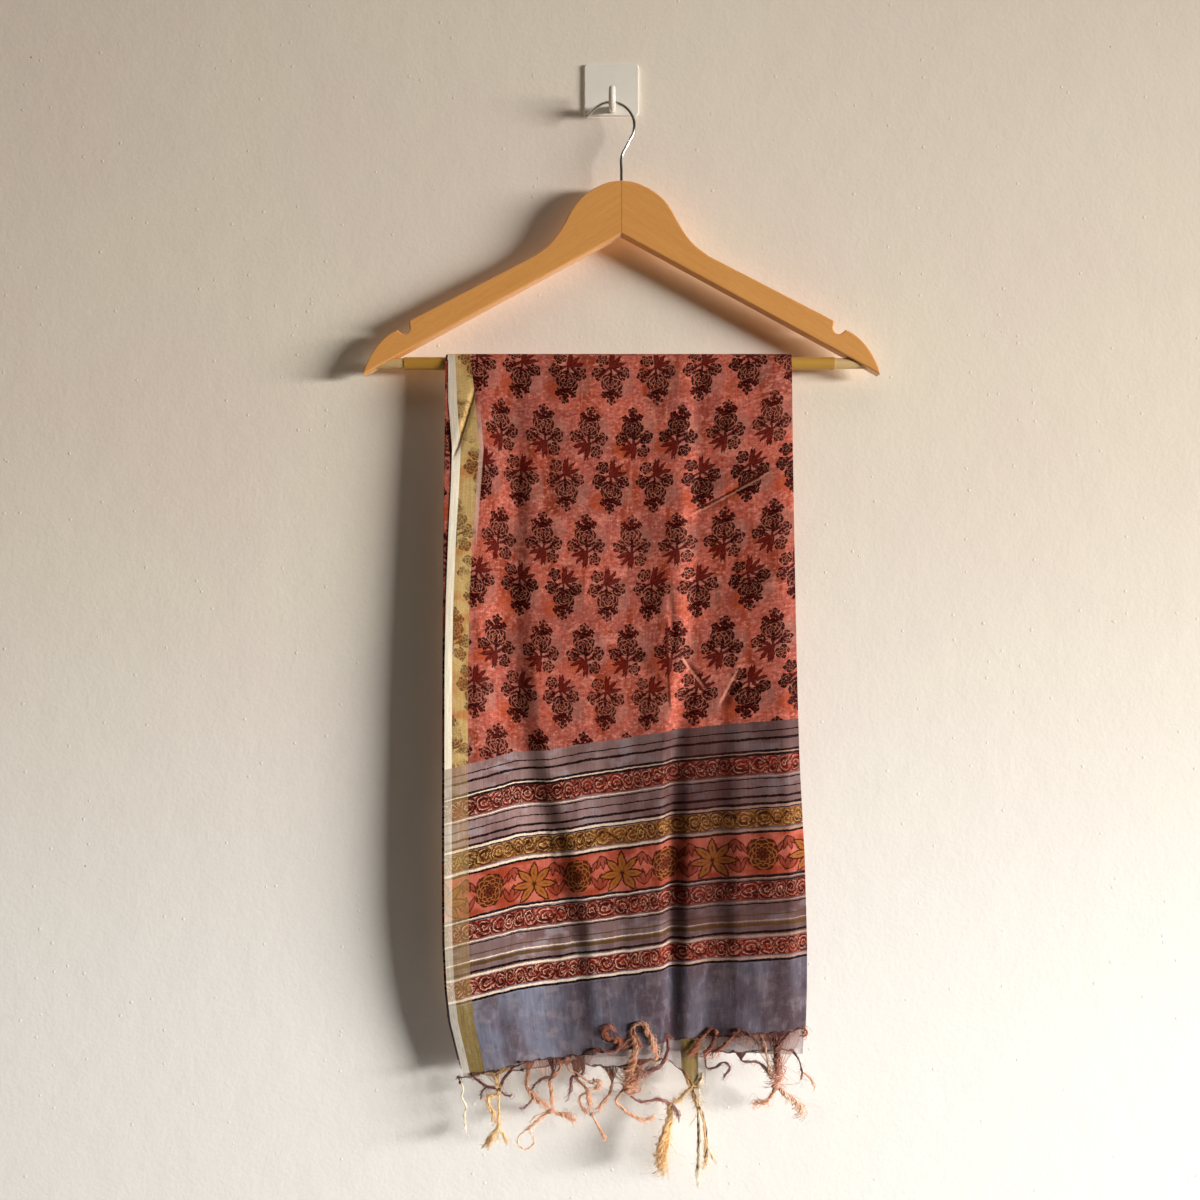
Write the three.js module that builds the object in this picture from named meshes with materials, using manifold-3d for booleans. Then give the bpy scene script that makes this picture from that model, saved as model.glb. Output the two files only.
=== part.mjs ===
// A wide printed stole, folded in three lengthwise and in half crosswise, hung over the
// bar of a wooden clothes hanger. The hanger's wire hook rests in an adhesive wall hook.
// Millimetres, +Z up, the wall is the plane y = 0, everything stands on its -Y side.
import * as THREE from "three";
import { mergeVertices } from "three/addons/utils/BufferGeometryUtils.js";
import Module from "manifold-3d";

const wasm = await Module();
wasm.setup();

// Clearances
const GAP = 0.3; // between pieces that touch
const EMBED = 1; // how far joined solids run into each other

// Wall hook
const PLATE_WIDTH = 48;
const PLATE_HEIGHT = 46;
const PLATE_THICK = 2.5;
const PLATE_CORNER = 3;
const PLATE_EDGE = 0.6;
const PEG_RADIUS = 3;
const PEG_X = 0.3;
const PEG_COURSE = [
  { y: -1.2, z: -17.5 },
  { y: -10, z: -19.6 },
  { y: -17, z: -22.9 },
  { y: -22, z: -23.9 },
  { y: -27, z: -22.4 },
  { y: -30.3, z: -17.6 },
  { y: -31, z: -11.3 },
];

// Hanger
const HANGER_X = 8.5;
const HANGER_Y = -22;
const WOOD_THICK = 14;
const WOOD_ROUND = 1.3;
const SEAM_GAP = 0.3;
const NECK = [
  { out: 0, z: -89.4 },
  { out: 10, z: -90.6 },
  { out: 18.7, z: -93.8 },
  { out: 27.4, z: -98.4 },
  { out: 36.2, z: -105.6 },
  { out: 43.6, z: -115.5 },
  { out: 52, z: -130.8 },
  { out: 62.3, z: -144.3 },
  { out: 75.4, z: -154.6 },
];
const ARM_TOP_END = { out: 184, z: -210.9 };
const NOTCH = { out: 188.3, z: -217.3, radius: 5 };
const NOSE = [
  { out: 194.2, z: -218.7 },
  { out: 201, z: -222.2 },
  { out: 208.5, z: -228.6 },
  { out: 215.3, z: -237.2 },
  { out: 220, z: -245.8 },
  { out: 222.8, z: -252 },
];
const TIP = { out: 223.6, z: -257.2 };
const HEEL = { out: 213.5, z: -251.5 };
const APEX_Z = -135.6;

// Wire hook
const WIRE_RADIUS = 1.4;
const BOW = { x: -0.5, z: -39.5, radius: 20.3, from: 125, to: -24 };
const WIRE_END = { x: -22.2, z: -31.7 };
const WIRE_KNEE = { x: 8.5, z: -66 };
const SHANK_FOOT_Z = -104;

// Bar
const BAR_Z = -246.8;
const DOWEL_RADIUS = 4.6;
const DOWEL_REACH = 217;
const SLEEVE_RADIUS = 5.45;
const SLEEVE_LEFT = -188.9;
const SLEEVE_RIGHT = 185.1;

// Stole
const CLOTH_THICK = 1;
const LAYER_PITCH = 1.4;
const CLOTH_LENGTH = 2400;
const LEFT_EDGE = -142;
const LEFT_FOLD = -143.6;
const RIGHT_FOLD = 156;
const INNER_SELVEDGE = 78;
const CREASE = 60;
// Where a section is sampled across the panel, shared by every layer.
const COLUMNS = [-112, -80, -48, -16, 16, 42, 56, 60, 78, 104, 130];
// Outline of the hanging cloth: its left edge, pressed crease and right edge by depth.
const OUTLINE = [
  { down: 0, left: -142, crease: 59, right: 155.5 },
  { down: 120, left: -142.6, crease: 56, right: 156.5 },
  { down: 210, left: -142.8, crease: 53, right: 157.5 },
  { down: 290, left: -142.8, crease: 50, right: 158.8 },
  { down: 350, left: -142.8, crease: 51, right: 160.5 },
  { down: 425, left: -142.8, crease: 58, right: 164.4 },
  { down: 500, left: -142.7, crease: 60, right: 166.8 },
  { down: 540, left: -141.2, crease: 60.6, right: 166.8 },
  { down: 568, left: -138.4, crease: 61.4, right: 166 },
  { down: 618, left: -127.2, crease: 63, right: 163 },
];
// Depth of the end edges below the bar axis, by place across each lengthwise layer.
const END_EDGES = [
  [
    { x: -142, outer: 617, inner: 604 },
    { x: -112, outer: 610.2, inner: 604 },
    { x: -80, outer: 603, inner: 603 },
    { x: -48, outer: 600.7, inner: 602 },
    { x: -16, outer: 595, inner: 601 },
    { x: 16, outer: 591, inner: 599 },
    { x: 42, outer: 587, inner: 598 },
    { x: 60, outer: 584, inner: 597.5 },
    { x: 78, outer: 579, inner: 598 },
    { x: 104, outer: 578.6, inner: 596 },
    { x: 130, outer: 577, inner: 596 },
    { x: 156, outer: 573.2, inner: 598 },
  ],
  [
    { x: -144, outer: 602, inner: 622 },
    { x: -48, outer: 590, inner: 614 },
    { x: 60, outer: 580, inner: 603 },
    { x: 104, outer: 576, inner: 599.7 },
    { x: 156, outer: 573.2, inner: 598 },
  ],
  [
    { x: -144, outer: 602, inner: 622 },
    { x: -48, outer: 594, inner: 618.5 },
    { x: 42, outer: 584, inner: 619 },
    { x: 78, outer: 578, inner: 625.6 },
  ],
];
// Rows below the bar axis where the drops are sampled, before the last run to the edge.
const FRONT_LEVELS = [0, 16, 70, 140, 210, 280, 350, 425, 500, 540, 568];
const BACK_LEVELS = [0, 16, 120, 240, 360, 460, 515];
const BAR_TURNS = 6;
const LOWER_TURNS = 5;
// Relief of the hanging drops, towards the room.
const CREASE_DEPTH = [
  { down: 0, depth: 0 },
  { down: 40, depth: 1.6 },
  { down: 200, depth: 2.6 },
  { down: 300, depth: 3.6 },
  { down: 425, depth: 3.4 },
  { down: 600, depth: 3 },
];
const WAVES = [
  { amp: 1.3, span: 230, phase: 0.5, lean: 0.12 },
  { amp: 0.8, span: 118, phase: 2.2, lean: -0.2 },
];
const WAVE_GROWTH = [
  { down: 0, share: 0 },
  { down: 60, share: 0.7 },
  { down: 400, share: 1.2 },
  { down: 620, share: 2.1 },
];
const CURL = { x: -92, width: 60, down: 470, height: 170, depth: 5 };
const BACK_SHARE = 0.6;

// Fringe
const HEADER_DROP = 3;
const FRINGE_THICK = 0.8;
const TUFT_SHAPE = [
  { at: 0, width: 1 },
  { at: 0.22, width: 0.55 },
  { at: 0.6, width: 1 },
  { at: 1, width: 0.5 },
];
const OUTER_TUFTS = [
  { layer: 0, x: -138, long: 51, sway: 4, width: 3 },
  { layer: 0, x: -108, long: 62, sway: -3, width: 9 },
  { layer: 0, x: -80, long: 30, sway: 8, width: 6 },
  { layer: 0, x: -40, long: 34, sway: 20, width: 5 },
  { layer: 0, x: 2, long: 24, sway: -8, width: 6 },
  { layer: 0, x: 34, long: 26, sway: 9, width: 6 },
  { layer: 0, x: 84, long: 44, sway: 12, width: 4 },
  { layer: 0, x: 124, long: 40, sway: -9, width: 7 },
  { layer: 0, x: 151, long: 32, sway: 3, width: 4 },
  { layer: 1, x: 134, long: 42, sway: 5, width: 6 },
  { layer: 1, x: 96, long: 48, sway: -4, width: 6 },
  { layer: 1, x: 50, long: 52, sway: 5, width: 6 },
  { layer: 1, x: 12, long: 46, sway: -5, width: 6 },
  { layer: 1, x: -28, long: 50, sway: 4, width: 6 },
  { layer: 1, x: -66, long: 44, sway: -4, width: 6 },
  { layer: 1, x: -104, long: 48, sway: 5, width: 6 },
  { layer: 2, x: -124, long: 44, sway: 4, width: 6 },
  { layer: 2, x: -86, long: 48, sway: 5, width: 6 },
  { layer: 2, x: -46, long: 50, sway: -4, width: 6 },
  { layer: 2, x: -8, long: 46, sway: 4, width: 6 },
  { layer: 2, x: 30, long: 52, sway: -4, width: 6 },
  { layer: 2, x: 70, long: 56, sway: 3, width: 5 },
];
const INNER_TUFTS = [
  { layer: 2, x: 73, long: 88, sway: 8, width: 7 },
  { layer: 2, x: 45, long: 76, sway: -5, width: 7 },
  { layer: 2, x: 22, long: 32, sway: 12, width: 12 },
  { layer: 2, x: -14, long: 48, sway: 6, width: 6 },
  { layer: 2, x: -56, long: 34, sway: 12, width: 9 },
  { layer: 2, x: -94, long: 50, sway: 5, width: 6 },
  { layer: 2, x: -130, long: 40, sway: 6, width: 5 },
  { layer: 1, x: -118, long: 42, sway: 5, width: 6 },
  { layer: 1, x: -76, long: 46, sway: -4, width: 6 },
  { layer: 1, x: -36, long: 40, sway: 5, width: 6 },
  { layer: 1, x: 4, long: 44, sway: 4, width: 6 },
  { layer: 1, x: 96, long: 40, sway: 4, width: 6 },
  { layer: 1, x: 122, long: 50, sway: 12, width: 10 },
  { layer: 1, x: 150, long: 38, sway: 12, width: 4 },
  { layer: 0, x: 136, long: 44, sway: -5, width: 6 },
  { layer: 0, x: 100, long: 46, sway: 4, width: 6 },
  { layer: 0, x: 52, long: 42, sway: -4, width: 6 },
  { layer: 0, x: 10, long: 46, sway: 4, width: 6 },
  { layer: 0, x: -32, long: 42, sway: -4, width: 6 },
  { layer: 0, x: -72, long: 46, sway: 4, width: 6 },
  { layer: 0, x: -118, long: 44, sway: -4, width: 6 },
];

const PAINT = {
  cloth: 0xb0635a,
  fringe: 0xc99a72,
  wood: 0xd08a3c,
  steel: 0xc8c8c8,
  dowel: 0xdcc08c,
  sleeve: 0xa8873a,
  plastic: 0xece6da,
};

// Straight-line reading of one column of a table, clamped at its ends.
function read(table, key, at, column) {
  const last = table.length - 1;
  if (at <= table[0][key]) return table[0][column];
  if (at >= table[last][key]) return table[last][column];
  const i = table.findIndex((row) => row[key] > at);
  const low = table[i - 1];
  const high = table[i];
  const share = (at - low[key]) / (high[key] - low[key]);
  return low[column] + share * (high[column] - low[column]);
}

function solidFrom(geometry) {
  const bare = geometry.clone();
  bare.deleteAttribute("normal");
  bare.deleteAttribute("uv");
  const merged = mergeVertices(bare, 1e-4);
  return new wasm.Manifold(
    new wasm.Mesh({
      numProp: 3,
      vertProperties: new Float32Array(merged.attributes.position.array),
      triVerts: new Uint32Array(merged.index.array),
    }),
  );
}

function geometryFrom(solid) {
  const mesh = solid.getMesh();
  const points = new Float32Array(mesh.vertProperties);
  return new THREE.BufferGeometry()
    .setAttribute("position", new THREE.BufferAttribute(points, mesh.numProp))
    .setIndex(new THREE.BufferAttribute(new Uint32Array(mesh.triVerts), 1));
}

// Closed skin over a row of equal loops. A loop is two banks: out along one side of the
// sheet and back along the other, so each end closes with one strip. Every face is split
// along the diagonal that leans one way in the room, so all layers fold alike.
function skin(loops) {
  const around = loops[0].length;
  const faces = [];
  const at = (row, i) => row * around + (i % around);
  for (let row = 0; row + 1 < loops.length; row++)
    for (let i = 0; i < around; i++) {
      const [near, nearNext] = [at(row, i), at(row, i + 1)];
      const [far, farNext] = [at(row + 1, i), at(row + 1, i + 1)];
      const from = loops[row][i];
      const to = loops[row + 1][(i + 1) % around];
      if ((to[0] - from[0]) * (to[2] - from[2]) > 0)
        faces.push(near, nearNext, farNext, near, farNext, far);
      else faces.push(near, nearNext, far, nearNext, farNext, far);
    }
  const end = loops.length - 1;
  for (let i = 0; i + 1 < around / 2; i++) {
    const back = around - 1 - i;
    faces.push(at(0, i), at(0, back), at(0, back - 1));
    faces.push(at(0, i), at(0, back - 1), at(0, i + 1));
    faces.push(at(end, i), at(end, back - 1), at(end, back));
    faces.push(at(end, i), at(end, i + 1), at(end, back - 1));
  }
  const points = new Float32Array(loops.flat(2));
  const geometry = new THREE.BufferGeometry().setAttribute(
    "position",
    new THREE.BufferAttribute(points, 3),
  );
  return geometry.setIndex(faces);
}

// The same skin, turned so that its faces point outwards.
function outward(geometry) {
  if (solidFrom(geometry).volume() > 0) return geometry;
  const index = geometry.index.array;
  for (let i = 0; i < index.length; i += 3)
    [index[i + 1], index[i + 2]] = [index[i + 2], index[i + 1]];
  return geometry;
}

function along(points, steps, radius, sides) {
  const course = new THREE.CatmullRomCurve3(points, false, "centripetal");
  const section = new THREE.Shape();
  section.absarc(0, 0, radius, 0, 2 * Math.PI);
  return new THREE.ExtrudeGeometry(section, {
    steps,
    curveSegments: sides,
    extrudePath: course,
    bevelEnabled: false,
  });
}

function rodAlongX(radius, from, to, sides) {
  const rod = new THREE.CylinderGeometry(radius, radius, to - from, sides);
  rod.rotateZ(Math.PI / 2);
  rod.translate((from + to) / 2 + HANGER_X, HANGER_Y, BAR_Z);
  return rod;
}

// Wall hook: a rounded plate and its bent peg, moulded in one.
function wallHook() {
  const half = { w: PLATE_WIDTH / 2, h: PLATE_HEIGHT / 2 };
  const r = PLATE_CORNER;
  const outline = new THREE.Shape();
  outline.moveTo(-half.w + r, -half.h);
  outline.absarc(half.w - r, -half.h + r, r, -Math.PI / 2, 0);
  outline.absarc(half.w - r, half.h - r, r, 0, Math.PI / 2);
  outline.absarc(-half.w + r, half.h - r, r, Math.PI / 2, Math.PI);
  outline.absarc(-half.w + r, -half.h + r, r, Math.PI, 1.5 * Math.PI);
  const plate = new THREE.ExtrudeGeometry(outline, {
    depth: PLATE_THICK - PLATE_EDGE,
    bevelThickness: PLATE_EDGE,
    bevelSize: PLATE_EDGE,
    bevelOffset: -PLATE_EDGE,
    bevelSegments: 2,
    curveSegments: 5,
  });
  plate.rotateX(Math.PI / 2);
  const front = solidFrom(plate).trimByPlane([0, -1, 0], 0);
  const course = PEG_COURSE.map((p) => new THREE.Vector3(PEG_X, p.y, p.z));
  const peg = solidFrom(along(course, 14, PEG_RADIUS, 8));
  const tip = PEG_COURSE[PEG_COURSE.length - 1];
  const cap = new THREE.SphereGeometry(PEG_RADIUS, 16, 10);
  cap.translate(PEG_X, tip.y, tip.z);
  return geometryFrom(front.add(peg).add(solidFrom(cap)));
}

// Hanger: one rounded outline, drilled for the bar and the wire, then split on its seam.
function hangerOutline(side) {
  const neck = NECK.map((p) => new THREE.Vector2(side * p.out, p.z));
  const nose = NOSE.map((p) => new THREE.Vector2(side * p.out, p.z));
  const centre = new THREE.Vector2(side * NOTCH.out, NOTCH.z);
  const start = new THREE.Vector2(side * ARM_TOP_END.out, ARM_TOP_END.z);
  const from = start.clone().sub(centre).angle();
  const to = nose[0].clone().sub(centre).angle();
  const turn =
    side * THREE.MathUtils.euclideanModulo(side * (to - from), 2 * Math.PI);
  const notch = Array.from({ length: 7 }, (_, i) => {
    const angle = from + (turn * (i + 1)) / 8;
    return new THREE.Vector2(Math.cos(angle), Math.sin(angle))
      .multiplyScalar(NOTCH.radius)
      .add(centre);
  });
  return [
    ...new THREE.SplineCurve(neck).getPoints(26),
    start,
    ...notch,
    ...new THREE.SplineCurve(nose).getPoints(12),
    new THREE.Vector2(side * TIP.out, TIP.z),
    new THREE.Vector2(side * HEEL.out, HEEL.z),
  ];
}

function hangerHalves() {
  const right = hangerOutline(1);
  const left = hangerOutline(-1).slice(1).reverse();
  const apex = new THREE.Vector2(0, APEX_Z);
  const outline = new THREE.Shape([...right, apex, ...left]);
  const body = new THREE.ExtrudeGeometry(outline, {
    depth: WOOD_THICK - 2 * WOOD_ROUND,
    bevelThickness: WOOD_ROUND,
    bevelSize: WOOD_ROUND,
    bevelOffset: -WOOD_ROUND,
    bevelSegments: 3,
  });
  body.rotateX(Math.PI / 2);
  body.translate(HANGER_X, HANGER_Y + WOOD_THICK / 2 - WOOD_ROUND, 0);
  const reach = DOWEL_REACH + GAP;
  const socket = solidFrom(rodAlongX(DOWEL_RADIUS + GAP, -reach, reach, 24));
  const hole = new THREE.CylinderGeometry(
    WIRE_RADIUS + GAP,
    WIRE_RADIUS + GAP,
    40,
    16,
  );
  hole.rotateX(Math.PI / 2);
  hole.translate(HANGER_X, HANGER_Y, SHANK_FOOT_Z - GAP + 20);
  const wood = solidFrom(body).subtract(socket).subtract(solidFrom(hole));
  const seam = SEAM_GAP / 2;
  return {
    left: geometryFrom(wood.trimByPlane([-1, 0, 0], seam - HANGER_X)),
    right: geometryFrom(wood.trimByPlane([1, 0, 0], seam + HANGER_X)),
  };
}

// Wire hook: a short straight end, the bow over the peg, a slant and the shank.
function wireHook() {
  const bow = Array.from({ length: 13 }, (_, i) => {
    const degrees = BOW.from + ((BOW.to - BOW.from) * i) / 12;
    const angle = THREE.MathUtils.degToRad(degrees);
    return {
      x: BOW.x + BOW.radius * Math.cos(angle),
      z: BOW.z + BOW.radius * Math.sin(angle),
    };
  });
  const shank = [0, 1.6, 20, SHANK_FOOT_Z].map((d) => ({
    x: WIRE_KNEE.x,
    z: d < 0 ? d : WIRE_KNEE.z - 1.2 - d,
  }));
  const slant = [0.35, 0.7, 0.93].map((share) => ({
    x: bow[12].x + share * (WIRE_KNEE.x - bow[12].x),
    z: bow[12].z + share * (WIRE_KNEE.z - bow[12].z),
  }));
  const course = [WIRE_END, ...bow, ...slant, ...shank].map(
    (p) => new THREE.Vector3(p.x, HANGER_Y, p.z),
  );
  return along(course, 42, WIRE_RADIUS, 6);
}

function sleeveTube() {
  const tube = solidFrom(
    rodAlongX(SLEEVE_RADIUS, SLEEVE_LEFT, SLEEVE_RIGHT, 24),
  );
  const from = SLEEVE_LEFT - EMBED;
  const to = SLEEVE_RIGHT + EMBED;
  const bore = solidFrom(rodAlongX(DOWEL_RADIUS + GAP, from, to, 24));
  return geometryFrom(tube.subtract(bore));
}

// Lengthwise section of the stole: place across (x), depth into the bundle (n), the way
// its face looks there, and which layer's edge depths apply.
function crossSection() {
  const flat = (layer, n, look, places) =>
    places.map((x) => ({ x, n, lookX: 0, lookN: look, layer }));
  const front = [LEFT_EDGE, ...COLUMNS, RIGHT_FOLD];
  const middle = [RIGHT_FOLD, ...[...COLUMNS].reverse(), LEFT_FOLD];
  const rear = [
    LEFT_FOLD,
    ...COLUMNS.filter((x) => x < INNER_SELVEDGE),
    INNER_SELVEDGE,
  ];
  const bend = LAYER_PITCH / 2;
  return [
    ...flat(0, 0, -1, front),
    { x: RIGHT_FOLD + bend, n: bend, lookX: 1, lookN: 0, layer: 0 },
    ...flat(1, LAYER_PITCH, 1, middle),
    { x: LEFT_FOLD - bend, n: 3 * bend, lookX: 1, lookN: 0, layer: 1 },
    ...flat(2, 2 * LAYER_PITCH, -1, rear),
  ];
}

const SECTION = crossSection();
// The facets over the bar stay clear of the sleeve at their middles.
const BAR_CLEAR = (SLEEVE_RADIUS + GAP) / Math.cos(Math.PI / (2 * BAR_TURNS));
const INNER_RADIUS = BAR_CLEAR + CLOTH_THICK / 2;
const OUTER_RADIUS = INNER_RADIUS + 5 * LAYER_PITCH;
const LOWER_RADIUS = (OUTER_RADIUS - INNER_RADIUS) / 2;

// Hanging relief towards the room at one sampled column and a depth below the bar.
function columnRelief(x, down) {
  const grow = read(WAVE_GROWTH, "down", down, "share");
  const wave = WAVES.reduce((sum, w) => {
    const turn = (2 * Math.PI * (x + w.lean * down)) / w.span + w.phase;
    return sum + w.amp * Math.sin(turn);
  }, 0);
  const sink = x === CREASE ? read(CREASE_DEPTH, "down", down, "depth") : 0;
  const across = Math.min(1, Math.max(0, (CURL.x - x) / CURL.width));
  const below = Math.min(1, Math.max(0, (down - CURL.down) / CURL.height));
  return grow * wave - sink - CURL.depth * across * below;
}

// The relief between columns runs straight, so every layer keeps its distance.
function relief(x, down) {
  const places = [LEFT_EDGE, ...COLUMNS, RIGHT_FOLD].map((at) => ({
    at,
    rise: columnRelief(at, down),
  }));
  return read(places, "at", x, "rise");
}

// Outline: the place across moved with the cloth's edges and its pressed crease.
function placed(x, down) {
  const left = read(OUTLINE, "down", down, "left");
  const crease = read(OUTLINE, "down", down, "crease");
  const right = read(OUTLINE, "down", down, "right");
  if (x < CREASE)
    return crease + ((x - CREASE) * (crease - left)) / (CREASE - LEFT_EDGE);
  const share = (x - CREASE) / (RIGHT_FOLD - CREASE);
  return crease + share * (right - crease);
}

function frontPoint(x, y, down) {
  return [placed(x, down), y - relief(x, down), BAR_Z - down];
}

function backPoint(x, y, down) {
  return [placed(x, 0), y - BACK_SHARE * relief(x, down), BAR_Z - down];
}

const edgeDepth = (p, end) => read(END_EDGES[p.layer], "x", p.x, end);

// Depth of the crosswise fold at the back: what is left of the cloth's length.
function foldDepth(p) {
  const turns = Math.PI * (OUTER_RADIUS + INNER_RADIUS + LOWER_RADIUS);
  const drops = edgeDepth(p, "outer") + edgeDepth(p, "inner");
  return (CLOTH_LENGTH - turns - drops) / 2;
}

// Depths of a drop's rows: its set levels, then halfway and all the way to its end.
function rowDepths(levels, row, end) {
  if (row < levels.length) return levels[row];
  const last = levels[levels.length - 1];
  const share = (row - levels.length + 1) / 2;
  return last + share * (end - last);
}

// Stations along the cloth, each turning a section point into a place in the room.
function stations() {
  const frontRows = FRONT_LEVELS.length + 2;
  const backRows = BACK_LEVELS.length + 2;
  const list = [];
  const outerFront = (row) => (p, n) =>
    frontPoint(
      p.x,
      HANGER_Y - OUTER_RADIUS + n,
      rowDepths(FRONT_LEVELS, row, edgeDepth(p, "outer")),
    );
  const innerFront = (row) => (p, n) =>
    frontPoint(
      p.x,
      HANGER_Y - INNER_RADIUS - n,
      rowDepths(FRONT_LEVELS, row, edgeDepth(p, "inner")),
    );
  const back = (row, base, sign) => (p, n) =>
    backPoint(
      p.x,
      HANGER_Y + base + sign * n,
      rowDepths(BACK_LEVELS, row, foldDepth(p)),
    );
  const overBar = (turn, base, sign) => (p, n) => {
    const angle = (Math.PI * turn) / BAR_TURNS;
    const radius = base + sign * n;
    return [
      placed(p.x, 0),
      HANGER_Y - radius * Math.cos(angle),
      BAR_Z + radius * Math.sin(angle),
    ];
  };
  const underFold = (turn) => (p, n) => {
    const angle = (Math.PI * turn) / LOWER_TURNS;
    const radius = LOWER_RADIUS - n;
    const middle = HANGER_Y + INNER_RADIUS + LOWER_RADIUS;
    const y = middle + radius * Math.cos(angle);
    const [x, shaped] = backPoint(p.x, y, foldDepth(p));
    return [x, shaped, BAR_Z - foldDepth(p) - radius * Math.sin(angle)];
  };
  for (let row = frontRows - 1; row >= 0; row--) list.push(outerFront(row));
  for (let t = 1; t < BAR_TURNS; t++) list.push(overBar(t, OUTER_RADIUS, -1));
  for (let row = 0; row < backRows; row++)
    list.push(back(row, OUTER_RADIUS, -1));
  for (let t = 1; t < LOWER_TURNS; t++) list.push(underFold(t));
  for (let row = backRows - 1; row >= 0; row--)
    list.push(back(row, INNER_RADIUS, 1));
  for (let t = BAR_TURNS - 1; t > 0; t--)
    list.push(overBar(t, INNER_RADIUS, 1));
  for (let row = 0; row < frontRows; row++) list.push(innerFront(row));
  return list;
}

// One loop of the sheet's skin: out along one side of the section, back along the other.
function loopAt(place, thick, below) {
  const bank = (side) =>
    SECTION.map((p) => {
      const off = (side * thick) / 2;
      const moved = { ...p, x: p.x + off * p.lookX };
      return place(moved, p.n + off * p.lookN, below);
    });
  return [...bank(1), ...bank(-1).reverse()];
}

// Fringe: a narrow knotted header just below the end edge and tufts hanging from it.
function fringe(end, tufts) {
  const base = end === "outer" ? OUTER_RADIUS : INNER_RADIUS;
  const sign = end === "outer" ? 1 : -1;
  const hang = (p, n, below) =>
    frontPoint(p.x, HANGER_Y - base + sign * n, edgeDepth(p, end) + below);
  const rows = [GAP, HEADER_DROP].map((below) =>
    loopAt(hang, FRINGE_THICK, below),
  );
  const header = solidFrom(outward(skin(rows)));
  return geometryFrom(
    tufts.reduce((whole, t) => {
      const n = t.layer * LAYER_PITCH;
      const loops = TUFT_SHAPE.map(({ at, width }) => {
        const half = (width * t.width) / 2;
        const middle = t.x + t.sway * at * at;
        const below = HEADER_DROP / 2 + at * t.long;
        const root = Math.max(
          edgeDepth({ x: t.x - t.width / 2, layer: t.layer }, end),
          edgeDepth({ x: t.x + t.width / 2, layer: t.layer }, end),
        );
        const corner = (dx, dn) =>
          frontPoint(
            middle + dx,
            HANGER_Y - base + sign * (n + dn),
            root + below,
          );
        const thin = FRINGE_THICK / 2;
        return [
          corner(-half, -thin),
          corner(half, -thin),
          corner(half, thin),
          corner(-half, thin),
        ];
      });
      return whole.add(solidFrom(outward(skin(loops))));
    }, header),
  );
}

const group = new THREE.Group();

function add(name, geometry, color, roughness, metalness = 0) {
  const material = new THREE.MeshStandardMaterial({
    color,
    roughness,
    metalness,
  });
  const mesh = new THREE.Mesh(geometry, material);
  mesh.name = name;
  group.add(mesh);
}

add("wall_hook", wallHook(), PAINT.plastic, 0.4);
add("hook_wire", wireHook(), PAINT.steel, 0.25, 1);
const halves = hangerHalves();
add("hanger_left", halves.left, PAINT.wood, 0.35);
add("hanger_right", halves.right, PAINT.wood, 0.35);
const dowel = rodAlongX(DOWEL_RADIUS, -DOWEL_REACH, DOWEL_REACH, 24);
add("bar_dowel", dowel, PAINT.dowel, 0.6);
add("bar_sleeve", sleeveTube(), PAINT.sleeve, 0.45);
const loops = stations().map((place) => loopAt(place, CLOTH_THICK));
const sheet = outward(skin(loops));
add("stole", sheet, PAINT.cloth, 0.9);
add("fringe_outer", fringe("outer", OUTER_TUFTS), PAINT.fringe, 0.9);
add("fringe_inner", fringe("inner", INNER_TUFTS), PAINT.fringe, 0.9);

export default group;
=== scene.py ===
# A wide printed stole, folded in three lengthwise and in half crosswise, hung over the bar
# of a wooden clothes hanger whose hook rests in an adhesive wall hook.
# Metres, +Z up. The wall is the plane y = 0 and everything hangs on its -Y side.
import math

import bpy
import numpy as np
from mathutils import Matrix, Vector


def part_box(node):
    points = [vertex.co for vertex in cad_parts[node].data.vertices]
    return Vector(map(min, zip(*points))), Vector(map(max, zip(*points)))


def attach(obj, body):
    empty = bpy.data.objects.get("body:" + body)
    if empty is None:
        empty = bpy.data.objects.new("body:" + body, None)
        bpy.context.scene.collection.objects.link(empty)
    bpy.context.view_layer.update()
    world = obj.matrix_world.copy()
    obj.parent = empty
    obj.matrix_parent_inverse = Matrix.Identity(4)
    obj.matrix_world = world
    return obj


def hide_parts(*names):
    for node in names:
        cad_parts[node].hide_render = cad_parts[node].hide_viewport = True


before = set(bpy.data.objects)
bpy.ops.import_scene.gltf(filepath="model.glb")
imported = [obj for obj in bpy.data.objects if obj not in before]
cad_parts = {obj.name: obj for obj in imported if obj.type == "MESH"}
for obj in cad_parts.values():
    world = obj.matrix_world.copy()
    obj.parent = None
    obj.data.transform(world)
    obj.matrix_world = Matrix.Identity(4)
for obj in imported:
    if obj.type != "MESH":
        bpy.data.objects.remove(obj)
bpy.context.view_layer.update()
MM = 0.001


# ---- Wall hook ------------------------------------------------------------------------
# A square plate and its bent peg, moulded together in white plastic. A pad behind the
# plate sticks it to the wall. Its gloss is soft, with the faint ripple of moulding.
class Measure:
    """A number, colour or point worked out all over a surface. Sums of them are nodes."""

    def __init__(self, finish, socket):
        self.finish = finish
        self.socket = socket

    def math(self, kind, *others):
        return self.finish.math(kind, self, *others)

    def __add__(self, other):
        return self.math("ADD", other)

    def __sub__(self, other):
        return self.math("SUBTRACT", other)

    def __mul__(self, other):
        return self.math("MULTIPLY", other)

    def __truediv__(self, other):
        return self.math("DIVIDE", other)

    def __radd__(self, other):
        return self.finish.math("ADD", other, self)

    def __rsub__(self, other):
        return self.finish.math("SUBTRACT", other, self)

    def __rmul__(self, other):
        return self.finish.math("MULTIPLY", other, self)

    def __lt__(self, other):
        return self.math("LESS_THAN", other)

    def __gt__(self, other):
        return self.math("GREATER_THAN", other)


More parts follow.
